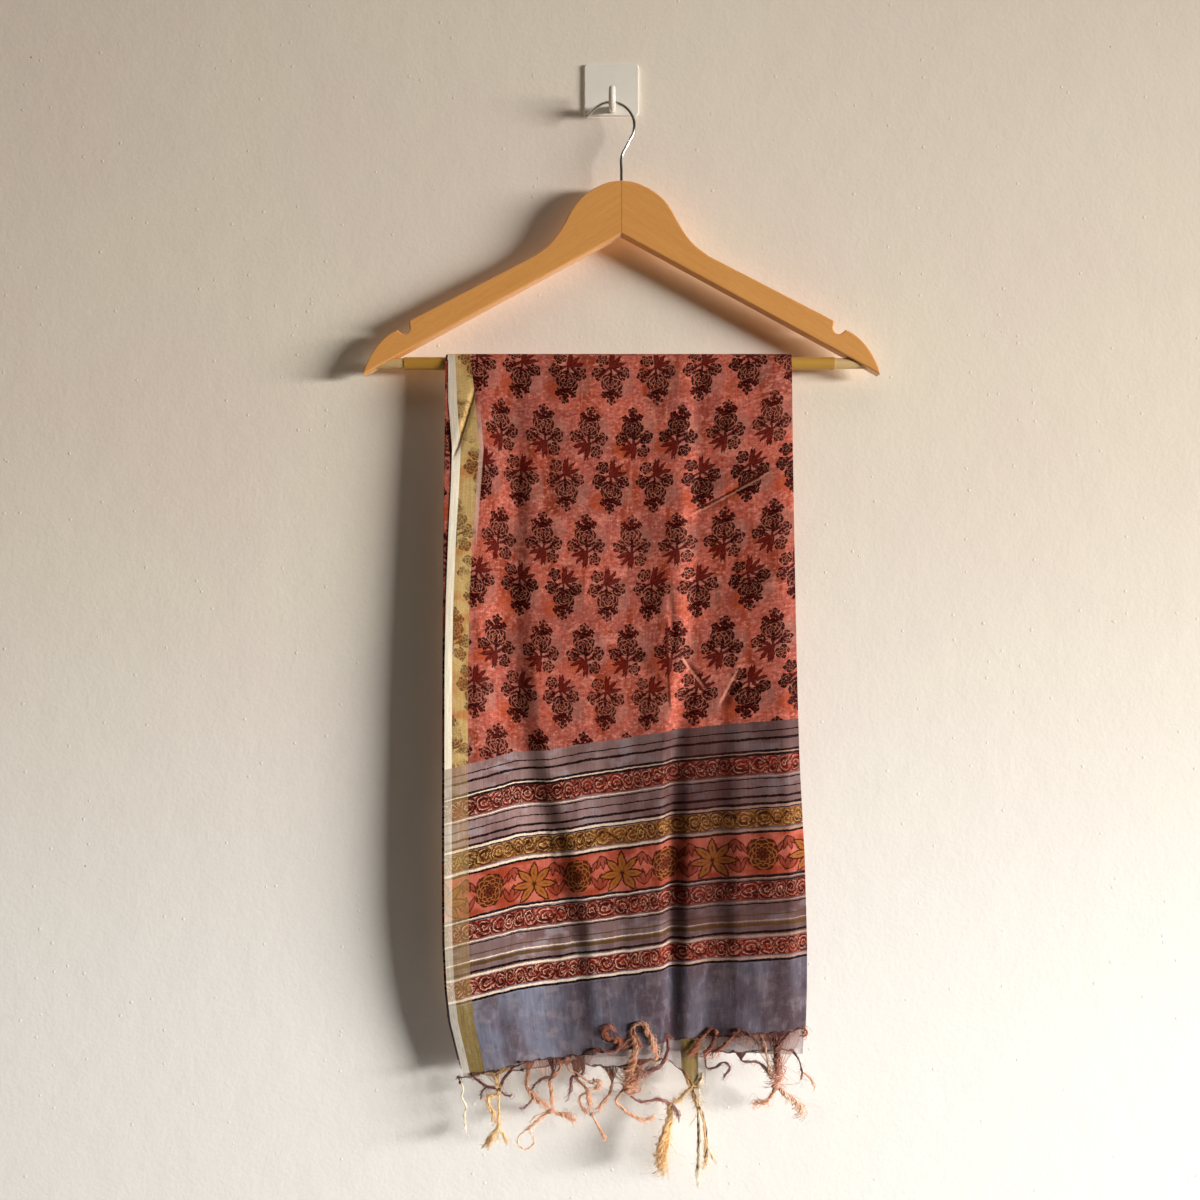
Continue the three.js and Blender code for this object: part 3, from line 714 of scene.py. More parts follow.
def stole_sheet():
    """The whole sheet as a grid: a row for each station along it, a column across it.

    Gives the points, and for each the cloth's own measures: across it, along it from its
    outer end, and the printed row line, which bows a little across the front.
    """
    outer = edge_depth(1)
    inner = edge_depth(2)
    over = 5 - LAYER
    under = LAYER
    arc_over = math.pi * radius(over, 0)
    arc_under = math.pi * radius(under, 0)
    arc_low = math.pi * (5 - 2 * LAYER) * PITCH_BELOW / 2
    foot = (CLOTH_LENGTH - arc_over - arc_under - arc_low - outer - inner) / 2
    half_turn = np.linspace(0, math.pi, 12)[1:-1, None]
    fine, back, rear = (ladder(0, 1, step / USUAL_DROP)[:, None] for step in ROW_STEPS)
    fold_turn = np.linspace(0, math.pi, 9)[1:-1, None]
    drops = [
        (in_front(PLACE, OUT, over, outer * fine[::-1]), outer * (1 - fine[::-1])),
        (over_bar(PLACE, OUT, over, half_turn), outer + arc_over * half_turn / math.pi),
        (behind(PLACE, OUT, over, foot * back), outer + arc_over + foot * back),
        (
            under_fold(PLACE, OUT, over, foot + 0 * fold_turn, fold_turn),
            outer + arc_over + foot + arc_low * fold_turn / math.pi,
        ),
        (
            behind(PLACE, OUT, under, foot * back[::-1]),
            CLOTH_LENGTH - inner - arc_under - foot * back[::-1],
        ),
        (
            over_bar(PLACE, OUT, under, math.pi - half_turn),
            CLOTH_LENGTH - inner - arc_under * (1 - half_turn / math.pi),
        ),
        (in_front(PLACE, OUT, under, inner * rear), CLOTH_LENGTH - inner * (1 - rear)),
    ]
    points = np.concatenate([d[0] for d in drops])
    along = np.concatenate([np.broadcast_to(d[1], d[0].shape[:2]) for d in drops])
    across = np.broadcast_to(WIDTH, along.shape)
    front = np.clip(PLACE, LEFT_EDGE, RIGHT_FOLD)
    level = read(END_EDGES[0], np.where(EDGE == 0, front, RIGHT_FOLD)) - along
    left, right = (far * ((front - BOW_TOP) / off) ** 2 for far, off in (BOW_LEFT, BOW_RIGHT))
    bow = np.where(front < BOW_TOP, left, right)
    row = level + np.where(EDGE == 0, bow, bow.max())
    return points, np.stack([across, along, row], axis=-1)


# The block print is worked out in the cloth's own millimetres. Sprigs stand in rows, half
# a step apart from row to row, and every other row is printed with the block turned over.
SPRIG_STEP = 39.2
SPRIG_ROW = 46.7
FIRST_SPRIG = 163.0
FIRST_ROW = 62.0
ROW_ZIGZAG = 5.0
SPRIG_FLOWERS = [  # x, y, size
    (-0.6, 3.8, 8.3),
    (0.8, 18.4, 3.0),
    (-11.0, -4.4, 4.4),
    (10.6, -4.8, 4.8),
    (7.4, -16.4, 4.3),
    (5.8, 13.4, 2.3),
    (-6.0, 13.6, 2.1),
]
SPRIG_BLADES = [  # x, y, way they point in degrees, degrees apart, how many, length, half width
    (0.6, -9.4, -134, 30, 3, 15.0, 1.7),
    (0.0, -10.6, 88, 56, 3, 15.0, 1.1),
    (0.4, 9.4, 90, 52, 3, 10.5, 1.5),
    (0.4, -5.0, -92, 30, 1, 19.0, 1.4),
]
RING_STEP = 2.4
RING_SCALLOP = 1.5
END_PANEL = 266.0
GOLD_BORDER = (6.6, 20.6)
RESIST_LINE = 22.6
PLAIN_END = (203, 206)
FRONT_WIDTH = RIGHT_FOLD - LEFT_EDGE
# Marks that only the outer end carries lie within this far along the cloth.
OUTER_END = 1000.0
# The line of painted shade in the border's crease: across at a row, and how it leans from it.
BORDER_CREASE = {"across": 22.0, "row": 35.0, "lean": 19.0 / 60.0}


def blooms(finish, spot, flowers):
    """The flower a spot lies deepest in: its way from the middle, and how deep inside."""
    chosen = deepest = None
    for x, y, size in flowers:
        way = finish.point_math("SUBTRACT", spot, (x, y, 0))
        deep = size - finish.point_math("LENGTH", way, out=1)
        if chosen is None:
            chosen, deepest = way, deep
            continue
        chosen = finish.node("Mix", {0: deep > deepest, 4: chosen, 5: way}, 1, data_type="VECTOR")
        deepest = deepest.math("MAXIMUM", deep)
    return chosen, deepest


def rings(finish, way, deep, petals):
    """Rings of scalloped petals, evenly spaced inwards from a flower's outline.

    A line runs where depth plus a scallop passes a whole number of ring steps, and each
    ring's scallops are turned against the last. Gives (lines, how deep inside).
    """
    x, y, _ = finish.parts(way)
    angle = finish.math("ARCTAN2", y, x)
    ring = (deep / RING_STEP).math("FLOOR")
    scallop = (angle * (petals / 2) + ring * 1.9).math("SINE").math("ABSOLUTE")
    depth = deep + scallop * RING_SCALLOP
    lines = finish.ease((depth / RING_STEP).math("FRACT"), 0.66, 0.46)
    return lines * (depth > 0.0), depth


def blades(finish, spot, x, y, way, apart, count, length, width):
    """Blades fanned from a point: how far inside a blade's edge, below 0 outside it.

    A blade's half width is 4 times width times its share of the length times the rest.
    """
    away = finish.point_math("SUBTRACT", spot, (x, y, 0))
    far = finish.point_math("LENGTH", away, out=1)
    dx, dy, _ = finish.parts(away)
    angle = finish.math("ARCTAN2", dy, dx) - math.radians(way)
    turn = angle.math("WRAP", math.pi, -math.pi) / math.radians(apart) + (count - 1) / 2
    blade = turn.math("ROUND").math("MAXIMUM", 0).math("MINIMUM", count - 1)
    off = (turn - blade).math("ABSOLUTE") * math.radians(apart) * far
    share = far / length
    return (1.0 - share) * share * (4 * width) - off


def deepest_blades(finish, spot, fans):
    """How far inside the nearest blade of several fans a spot is."""
    found = None
    for fan in fans:
        inside = blades(finish, spot, *fan)
        found = inside if found is None else found.math("MAXIMUM", inside)
    return found


def sprig_place(finish, across, row):
    """A spot's place on its sprig, in the half-step lattice, and three chances of its own.

    The lines between rows zigzag, so that each sprig keeps its own tip and foot.
    """
    sway = ((across - FIRST_SPRIG) * (2 * math.pi / SPRIG_STEP)).math("COSINE")
    sway = sway * (ROW_ZIGZAG / SPRIG_ROW)
    level = (row - FIRST_ROW) / SPRIG_ROW
    pair = (level - 0.5 - sway) * 0.5
    low = pair.math("FLOOR")
    turned = ((pair - low) * 2) < (1.0 - sway * 2)
    line = low * 2 + 2 - turned
    side = (across - FIRST_SPRIG) / SPRIG_STEP - turned * 0.5
    column = side.math("ROUND")
    facing = 1.0 - turned * 2
    x = (side - column) * facing * SPRIG_STEP
    y = (line - level) * facing * SPRIG_ROW
    chance = finish.node("TexWhiteNoise", {"Vector": finish.point(column, line)}, "Color")
    shake, lean, weight = finish.parts(chance)
    turn = {"Vector": finish.point(x + (shake - 0.5) * 1.8, y), "Angle": (lean - 0.5) * 0.22}
    return finish.node("VectorRotate", turn, rotation_type="Z_AXIS"), facing, weight


def printed_field(finish, own, across, row, speck):
    """The field: mottled coral and dusty mauve, rust where dye bled, sprigs over all.

    Gives (colour, how much of it is print).
    """
    spot, facing, weight = sprig_place(finish, across, row)
    drift = finish.noise(own, 0.02, 3, 0.6)
    blot = finish.noise(own, 0.055, 3, 0.65)
    run = finish.noise(finish.point_math("MULTIPLY", own, (0.06, 0.011, 0.0)), 1.0, 3, 0.6)
    ground = finish.blend(finish.ease(drift, 0.38, 0.6), dye(186, 94, 78), dye(160, 84, 74))
    ground = finish.blend(finish.ease(run, 0.52, 0.64) * 0.85, ground, dye(138, 52, 28))
    ground = finish.blend(finish.ease(blot, 0.47, 0.34) * 0.7, ground, dye(204, 124, 108))
    dapple = finish.noise(own, 0.3, 3, 0.65)
    ground = finish.blend(finish.ease(dapple, 0.5, 0.36) * 0.6, ground, dye(128, 50, 32))
    ground = finish.blend(finish.ease(dapple, 0.52, 0.68) * 0.55, ground, dye(222, 150, 130))
    beside = finish.node("VectorMath", {0: spot, 3: facing}, operation="SCALE")
    halo = finish.point_math("DISTANCE", beside, (6.5, -2.0, 0.0), out=1)
    ground = finish.blend(finish.ease(halo + blot * 8, 23, 15) * 0.4, ground, dye(150, 106, 96))
    bleed = finish.point_math("DISTANCE", beside, (-11.0, -13.0, 0.0), out=1)
    rusty = finish.ease(bleed + blot * 12, 18, 10) * finish.ease(weight, 0.2, 0.8)
    ground = finish.blend(rusty * 0.7, ground, dye(160, 64, 30))

    way, deep = blooms(finish, spot, SPRIG_FLOWERS)
    lines, depth = rings(finish, way, deep, 5)
    leaf = deepest_blades(finish, spot, SPRIG_BLADES)
    petal = finish.ease(depth, 0.0, 0.6)
    rightwards = finish.spread(across / FRONT_WIDTH, -0.1, 0.05)
    flood = finish.ease(blot * 0.7 + weight * 0.3 + rightwards, 0.46, 0.62)
    shade = finish.blend(flood, dye(118, 40, 26), dye(70, 6, 2))
    printed = finish.blend(petal * (flood * 0.34 + 0.6), ground, shade)
    fleck = finish.ease((speck - 0.58).math("ABSOLUTE"), 0.055, 0.025) * petal
    printed = finish.blend(fleck * 0.6, printed, dye(214, 146, 118))
    leaves = finish.ease(leaf, -0.3, 0.35)
    printed = finish.blend(leaves * 0.92, printed, dye(90, 10, 2))
    rim = finish.ease((leaf - 0.1).math("ABSOLUTE"), 0.5, 0.2)
    printed = finish.blend(rim * 0.8, printed, dye(36, 0, 0))
    ink = lines * finish.ease(speck + weight * 0.2, 0.32, 0.5)
    printed = finish.blend(ink * 0.98, printed, dye(34, 0, 0))
    return printed, (ink * 0.9).math("MAXIMUM", leaves * 0.8).math("MAXIMUM", petal * 0.35)


# The end panel's bands, by how far each starts below the panel's top edge.
SLATE_DEEP, SLATE_WARM, SLATE_DIM = dye(128, 130, 150), dye(156, 126, 124), dye(130, 106, 106)
MADDER, OLIVE, CORAL = dye(106, 34, 28), dye(98, 56, 30), dye(166, 76, 62)
BANDS = [
    (0, SLATE_WARM),
    (29, MADDER),
    (44, SLATE_WARM),
    (74, OLIVE),
    (89, SLATE_WARM),
    (94, CORAL),
    (129.5, SLATE_WARM),
    (135, MADDER),
    (150.5, SLATE_DIM),
    (184, MADDER),
    (198, SLATE_DEEP),
]
DARK_LINES = [  # middle, width
    (7, 1.4),
    (14, 1.4),
    (24.6, 1.7),
    (27.6, 1.5),
    (47.6, 1.5),
    (55, 1.4),
    (63, 1.4),
    (69.2, 1.5),
    (72.8, 1.5),
    (93, 1.7),
    (130.2, 1.5),
    (134, 1.3),
    (153.8, 1.7),
    (178.4, 1.5),
    (202, 1.5),
]
PALE_LINES = [
    (26.1, 1.2),
    (45.6, 1.2),
    (71, 1.4),
    (91, 1.3),
    (132.1, 1.5),
    (152, 1.3),
    (159.4, 0.7),
    (168, 0.8),
    (181, 1.9),
    (200, 1.3),
]
GOLD_LINES = [(163.4, 1.5), (171.6, 2.7)]
SCROLL_BANDS = (36.5, 81.5, 142.8, 191.0)
SCROLL_HALF = 7.2
SCROLL_STEP = 10.6
FLOWER_STEP = 76.0
FLOWER_MIDDLE = 111.7
LILY = (0, -3, 90, 47, 7, 19.0, 3.6)
RING_FLOWER = 11.0
TRAIL_HALF = 17.6
OLIVE_HALF = 12.0
TRAIL_BLADES = [
    (9, -17, -62, 28, 3, 11.0, 1.7),
    (27, 0, 96, 42, 2, 12.0, 1.5),
    (20, -15, 100, 34, 3, 14.0, 2.0),
    (18, 14, -100, 30, 3, 12.0, 1.7),
    (29, 10, -30, 40, 2, 9.0, 1.4),
]


def ramp(finish, level, stops):
    """Colours that change in steps down the end panel, from (start, colour) in order."""
    made = finish.tree.nodes.new("ShaderNodeValToRGB")
    finish.feed(made.inputs[0], level / END_PANEL)
    made.color_ramp.interpolation = "CONSTANT"
    made.color_ramp.elements.remove(made.color_ramp.elements[1])
    made.color_ramp.elements[0].color = stops[0][1]
    for start, colour in stops[1:]:
        made.color_ramp.elements.new(start / END_PANEL).color = colour
    return Measure(finish, made.outputs[0])


def stripes(finish, level, lines):
    """1 on each line and 0 between them."""
    black, white = (0, 0, 0, 1), (1, 1, 1, 1)
    stops = [(0, black)]
    for middle, width in lines:
        stops += [(middle - width / 2, white), (middle + width / 2, black)]
    return ramp(finish, level, stops)


def scrolls(finish, across, level, wander):
    """A row of spirals in each scroll band, every other one wound the other way.

    The line runs where turns of angle plus 2 times the radius pass a whole number, and a
    vine waves along between the spirals. Gives (scroll, light edge of the scroll, vine,
    in a band, from the olive band's middle).
    """
    middle = SCROLL_BANDS[0]
    for last, this in zip(SCROLL_BANDS, SCROLL_BANDS[1:]):
        middle = (level > (last + this) / 2) * (this - last) + middle
    y = (level - middle) / SCROLL_HALF
    cell = (across + (across * 0.11).math("SINE") * 3 + wander * 9) / SCROLL_STEP
    place = cell.math("FLOOR")
    x = (cell - place - 0.5) * 2
    flip = place.math("PINGPONG", 1) * 2 - 1
    rise = y * flip + 0.12
    far = (x * x + rise * rise).math("SQRT")
    angle = finish.math("ARCTAN2", rise, x) / (2 * math.pi)
    wind = (far * 2.0 + angle + wander * 1.2).math("FRACT")
    line = finish.ease((wind - 0.5).math("ABSOLUTE"), 0.27, 0.12)
    light = finish.ease((wind - 0.72).math("ABSOLUTE"), 0.15, 0.06)
    vine = y - (cell * math.pi).math("SINE") * 0.62
    vine = finish.ease(vine.math("ABSOLUTE"), 0.24, 0.1)
    in_band = y.math("ABSOLUTE") < 1.0
    return line, light, vine, in_band, (level - SCROLL_BANDS[1]).math("ABSOLUTE")


def trail(finish, across, level, ground):
    """The wide floral band: open lilies, ring flowers between them, sprays of leaves."""
    cell = across / FLOWER_STEP
    x = (cell - cell.math("ROUND")) * FLOWER_STEP
    y = FLOWER_MIDDLE - level
    spot = finish.point(x, y)
    side = finish.point(x.math("ABSOLUTE"), y)
    lily = blades(finish, spot, *LILY)
    leaf = deepest_blades(finish, side, TRAIL_BLADES)
    ring_way = finish.point_math("SUBTRACT", side, (FLOWER_STEP / 2, -0.5, 0))
    ring_way = finish.point_math("MULTIPLY", ring_way, (1.0, 0.84, 0))
    ring_deep = RING_FLOWER - finish.point_math("LENGTH", ring_way, out=1)
    ring_lines, depth = rings(finish, ring_way, ring_deep, 9)
    colour = finish.blend(finish.ease(leaf, -0.2, 0.3) * 0.7, ground, dye(130, 52, 34))
    colour = finish.blend(finish.ease(leaf.math("ABSOLUTE"), 0.7, 0.3) * 0.85, colour, dye(52, 6, 2))
    colour = finish.blend(finish.ease(depth, 0, 0.5) * 0.8, colour, dye(154, 92, 44))
    colour = finish.blend(finish.ease(ring_deep, 6.0, 8.0) * 0.85, colour, dye(92, 34, 22))
    colour = finish.blend(ring_lines * 0.9, colour, dye(50, 8, 2))
    colour = finish.blend(finish.ease(lily, -0.2, 0.3) * 0.9, colour, dye(150, 88, 36))
    edge = finish.ease((lily - 0.2).math("ABSOLUTE"), 0.9, 0.45)
    vein = finish.ease(lily, 2.9, 3.4)
    return finish.blend(edge.math("MAXIMUM", vein * 0.7) * 0.92, colour, dye(46, 6, 2))


def printed_panel(finish, own, across, level, speck, blotch):
    """The end panel: slate ground, scroll bands, floral band and the lines between."""
    cloud = finish.noise(finish.point_math("MULTIPLY", own, (0.03, 0.012, 0.0)), 1.0, 3, 0.6)
    drift = finish.noise(own, 0.05, 3, 0.6)
    band = ramp(finish, level, BANDS)
    band = finish.blend(finish.ease(cloud, 0.4, 0.62) * 0.6, band, dye(92, 62, 60))
    band = finish.blend(finish.ease(drift, 0.52, 0.36) * 0.5, band, dye(168, 156, 164))
    # Painted shade: the panel's bands darken towards the right.
    band = finish.blend(finish.ease(across, 60, 250) * 0.55, band, dye(76, 48, 48))
    off_trail = (level - FLOWER_MIDDLE).math("ABSOLUTE")
    scroll, light, vine, in_band, off_olive = scrolls(finish, across, level, blotch)
    madder = finish.blend(finish.ease(drift, 0.4, 0.6), dye(106, 26, 20), dye(74, 8, 4))
    olive = finish.blend(finish.ease(drift, 0.4, 0.6), dye(112, 60, 26), dye(82, 36, 16))
    is_olive = off_olive < OLIVE_HALF
    ground = finish.blend(is_olive, madder, olive)
    tint = finish.blend(is_olive, dye(166, 88, 70), dye(162, 118, 60))
    ground = finish.blend(scroll * finish.ease(speck, 0.38, 0.56) * 0.85, ground, tint)
    ground = finish.blend(vine * 0.8, ground, dye(42, 4, 2))
    glint = light * finish.ease(blotch, 0.38, 0.58) * finish.ease(speck, 0.3, 0.5)
    pale = finish.blend(is_olive, dye(242, 198, 174), dye(228, 190, 128))
    ground = finish.blend(glint * finish.spread(across / FRONT_WIDTH, 0.95, 0.45), ground, pale)
    body = finish.blend(in_band, band, ground)
    coral = finish.blend(finish.ease(drift, 0.38, 0.62), dye(190, 100, 82), dye(152, 62, 40))
    body = finish.blend(off_trail < TRAIL_HALF, body, trail(finish, across, level, coral))
    body = finish.blend(stripes(finish, level, GOLD_LINES) * 0.9, body, dye(88, 62, 26))
    worn = finish.ease(speck, 0.24, 0.44)
    chalk = finish.blend(finish.ease(across, 130, 250), dye(246, 222, 200), dye(186, 144, 124))
    strong = finish.spread(across / FRONT_WIDTH, 0.94, 0.6)
    body = finish.blend(stripes(finish, level, PALE_LINES) * worn * strong, body, chalk)
    return finish.blend(stripes(finish, level, DARK_LINES) * worn, body, dye(20, 4, 4))


# Painted light along the outer end's creases: a painted shade line in each and a painted highlight beside it.
CREASE_MARKS = [  # across, row, across, row, how dark, how pale beside
    (213, 134, 280, 106, 0.85, 0.45),
    (211, 256, 230, 285, 0.5, 0.55),
    (256, 273, 241, 305, 0.5, 0.55),
    (196, 222, 202, 305, 0.75, 0.0),
]


def painted_crease_light(finish, across, row, outer_end, body):
    """Hard creases on the outer end: painted shade along each, and a painted highlight beside most of them.

    How far a spot is off a crease is the cross product of its way from the crease's
    start and the crease's direction.
    """
    for across0, row0, across1, row1, dark, pale in CREASE_MARKS:
        length = math.hypot(across1 - across0, row1 - row0)
        run, fall = (across1 - across0) / length, (row1 - row0) / length
        right, down = across - across0, row - row0
        along = right * run + down * fall
        off = right * fall - down * run
        on = finish.ease(along, -3, 9) * finish.ease(along, length + 3, length - 9) * outer_end
        if pale:
            # Painted highlight beside the crease.
            painted_highlight_beside = finish.ease((off + 2.4).math("ABSOLUTE"), 1.4, 0.5) * on
            body = finish.blend(painted_highlight_beside * pale, body, dye(236, 166, 142))
        # Painted shade in the crease.
        painted_shade_in_crease = finish.ease(off.math("ABSOLUTE"), 1.6, 0.6) * on
        body = finish.blend(painted_shade_in_crease * dark, body, dye(74, 16, 8))
    return body


def printed_cloth():
    """Colour, sheerness, gleam and weave of the whole stole, from its own measures."""
    finish = Finish("printed_silk_cotton")
    own = finish.node("Attribute", {}, "Vector", attribute_name="cloth")
    hand = finish.node("TexNoise", {"Vector": own, "Scale": 0.09, "Detail": 3.0}, "Color")
    fine = finish.node("TexNoise", {"Vector": own, "Scale": 0.5, "Detail": 2.0}, "Color")
    shift = finish.point_math("SUBTRACT", hand, (0.5, 0.5, 0.5))
    shift_fine = finish.point_math("SUBTRACT", fine, (0.5, 0.5, 0.5))
    moved = finish.point_math("MULTIPLY_ADD", shift, (3.4, 2.0, 3.4), own)
    moved = finish.point_math("MULTIPLY_ADD", shift_fine, (2.6, 0.9, 2.6), moved)
    across, along, row = finish.parts(moved)
    bare_across, bare_along, _ = finish.parts(own)
    from_end = along.math("MINIMUM", CLOTH_LENGTH - along)
    level = END_PANEL - from_end
    on_panel = level > 0.0
    on_outer = along < OUTER_END
    speck = finish.noise(own, 1.1, 2, 0.6)
    blotch = finish.noise(own, 0.16, 3, 0.6)
    slub = finish.noise(finish.point_math("MULTIPLY", own, (0.02, 1.0, 1.0)), 1.4, 3, 0.7)
    streak = finish.noise(finish.point_math("MULTIPLY", own, (1.0, 0.03, 0.03)), 0.9, 4, 0.65)

    field, print_on = printed_field(finish, own, across, row, speck)
    panel = printed_panel(finish, own, across, level, speck, blotch)
    body = finish.blend(on_panel, field, panel)

    # Borders woven into both selvedges: cream edge, then a band of flat gold thread.
    from_edge = bare_across.math("MINIMUM", WIDTH[-1] - bare_across)
    in_gold = (from_edge > GOLD_BORDER[0]) * (from_edge < GOLD_BORDER[1])
    gold_thread = finish.blend(slub, dye(172, 136, 76), dye(232, 200, 140))
    stain = finish.noise(own, 0.03, 2, 0.6)
    stained = finish.ease(stain, 0.46, 0.62) * (1.0 - on_panel)
    gold_thread = finish.blend(stained * 0.6, gold_thread, dye(188, 104, 48))
    overprint = (print_on * finish.ease(stain, 0.32, 0.5) * (1.0 - on_panel)) * 0.95
    over = finish.blend(overprint, gold_thread, dye(84, 40, 14))
    plain_end = finish.ease(level, *PLAIN_END)
    over = finish.blend(plain_end * 0.75, over, dye(116, 102, 60))
    over = finish.blend((on_panel - plain_end) * 0.7, over, body)
    beside_gold = finish.ease((from_edge - RESIST_LINE).math("ABSOLUTE"), 2.6, 1.4)
    resist = beside_gold * finish.ease((row - 110).math("ABSOLUTE"), 70, 30) * on_outer
    colour = finish.blend(in_gold, finish.blend(resist * 0.6, body, dye(222, 186, 168)), over)
    cream = finish.blend(slub, dye(246, 234, 206), dye(255, 250, 234))
    # Painted shade: the outer end's cream edge is darker near the top, where it turns from the light.
    cream = finish.blend(finish.ease(row, 104, 84) * on_outer * 0.5, cream, dye(164, 146, 132))
    on_cream = from_edge < GOLD_BORDER[0]
    colour = finish.blend(on_cream * (0.93 - on_panel * 0.35 - (on_panel - plain_end) * 0.15), colour, cream)
    # Painted shade along the crease that crosses the left border.
    slipped = bare_across + (row - BORDER_CREASE["row"]) * BORDER_CREASE["lean"]
    slipped = slipped - BORDER_CREASE["across"]
    painted_shade_in_border_crease = finish.ease(slipped.math("ABSOLUTE"), 1.3, 0.5) * on_outer
    painted_shade_in_border_crease = painted_shade_in_border_crease * finish.ease(row, 24, 40) * finish.ease(row, 104, 92)
    colour = finish.blend(painted_shade_in_border_crease * 0.85, colour, dye(88, 40, 18))

    # Painted shade and highlight along the outer end's creases.
    colour = painted_crease_light(finish, bare_across, row, on_outer, colour)

    # The right half of the panel's outer end is painted darker: painted shade where its folds turn from the
    # light.
    painted_shade_panel_right = finish.ease(bare_across, 110, 190) * 0.5 + finish.ease(bare_across, 186, 204) * 0.5
    painted_shade_panel_right = painted_shade_panel_right * finish.ease(bare_across, 292, 236)
    painted_shade_panel_right = painted_shade_panel_right * on_panel * finish.ease(level, 215, 150) * on_outer
    colour = finish.blend(painted_shade_panel_right * 0.5, colour, dye(50, 16, 12))

    # The plain end is made darker across its middle.
    plain_end_middle = finish.ease(bare_across, 78, 118) * finish.ease(bare_across, 226, 190) * plain_end
    colour = finish.blend(plain_end_middle * on_outer * 0.34, colour, dye(44, 26, 30))

    # The plain end is thin and crinkled; on the inner end its foot is bleached and frayed.
    crinkle = finish.noise(finish.point_math("MULTIPLY", own, (0.22, 0.07, 0.0)), 1.0, 4, 0.65)
    # Painted highlight and shade on the plain end: paler on the crinkles' ridges and darker in their hollows.
    colour = finish.blend(plain_end * finish.ease(crinkle, 0.5, 0.72) * 0.24, colour, dye(178, 176, 194))
    colour = finish.blend(plain_end * finish.ease(crinkle, 0.48, 0.3) * 0.34, colour, dye(66, 54, 68))
    frayed = finish.ease(bare_along, CLOTH_LENGTH - 30, CLOTH_LENGTH - 16) * (1.0 - in_gold)
    colour = finish.blend(frayed * 0.6, colour, dye(206, 190, 190))

    # Weave: threads both ways, slubs, and a grid of fine ribs for the bump.
    warp = (bare_across * (2 * math.pi / 0.62)).math("SINE")
    weft = (bare_along * (2 * math.pi / 0.55)).math("SINE")
    weave = (warp + weft) * 0.25 + 0.5
    pale_thread = finish.ease(streak, 0.42, 0.75) * 0.3 + finish.ease(slub, 0.45, 0.7) * 0.12
    colour = finish.node("VectorMath", {0: colour, 3: pale_thread - weave * 0.12 + 0.97}, operation="SCALE")
    ribs = weave * 0.5 + streak * 0.8 + slub * 0.3 + plain_end * crinkle * 2.6
    normal = finish.bump(ribs, 0.12 * MM, 0.55)
    rough = finish.spread(streak, 0.72, 0.56) - in_gold * 0.18
    sheer = 1.0 - plain_end * (1.0 - in_gold) * (finish.spread(streak, 0.1, 0.34) + frayed * 0.16)
    finish.feed(finish.shader.inputs["Alpha"], sheer)
    finish.feed(finish.shader.inputs["Metallic"], in_gold * 0.3)
    return finish.wear(colour, rough, normal, Specular_IOR_Level=0.05)


points, own = stole_sheet()
faces = skin(points, closed_across=False).tolist()
stole = piece("stole_cloth_sheet", points, faces, printed_cloth())
measures = stole.data.attributes.new("cloth", "FLOAT_VECTOR", "POINT")
measures.data.foreach_set("vector", own.astype(np.float32).ravel())
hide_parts("stole")


# ---- Fringes --------------------------------------------------------------------------
# At both ends the last weft is pulled out, and the warp ends are bunched, knotted and left
# to curl. They are dark at the hem, where dye wicked in, and peach, gold or cream below.
YARNS = {  # kind: colour at the hem, colour at the tip
    "dark": (dye(66, 20, 16), dye(104, 48, 38)),
    "peach": (dye(120, 64, 48), dye(238, 182, 144)),
    "gold": (dye(160, 122, 64), dye(250, 212, 156)),
    "cream": (dye(196, 176, 134), dye(252, 240, 214)),
    "mauve": (dye(104, 60, 62), dye(152, 100, 92)),
    "pale": (dye(150, 84, 66), dye(250, 212, 184)),
    "rust": (dye(84, 28, 22), dye(186, 108, 78)),
    "blush": (dye(88, 36, 36), dye(232, 168, 140)),
}
HEMS = {"outer": (1, 0, 5), "inner": (2, 2, 2), "middle": (2, 1, 1)}  # end, layer, rank
FULL_DOWN = 600.0
# No thread stands nearer the room than this: those that would are pressed back to it.
NEAREST = -48.5
THREAD_RINGS = 22
THREAD_SIDES = 4
THREAD_RADIUS = 0.42
FULLNESS = 1.3
LOOSENESS = 2.2
FLY_SHARE = 0.25
TWIST_LENGTH = 19.0
SWELL_LENGTH = 17
CORD_LENGTH = 24
CORD_RADIUS = 0.36
HAIRS = 1300
HAIR_RINGS = 7
HAIR_LENGTH = (1.0, 4.5)
HAIR_RADIUS = 0.06
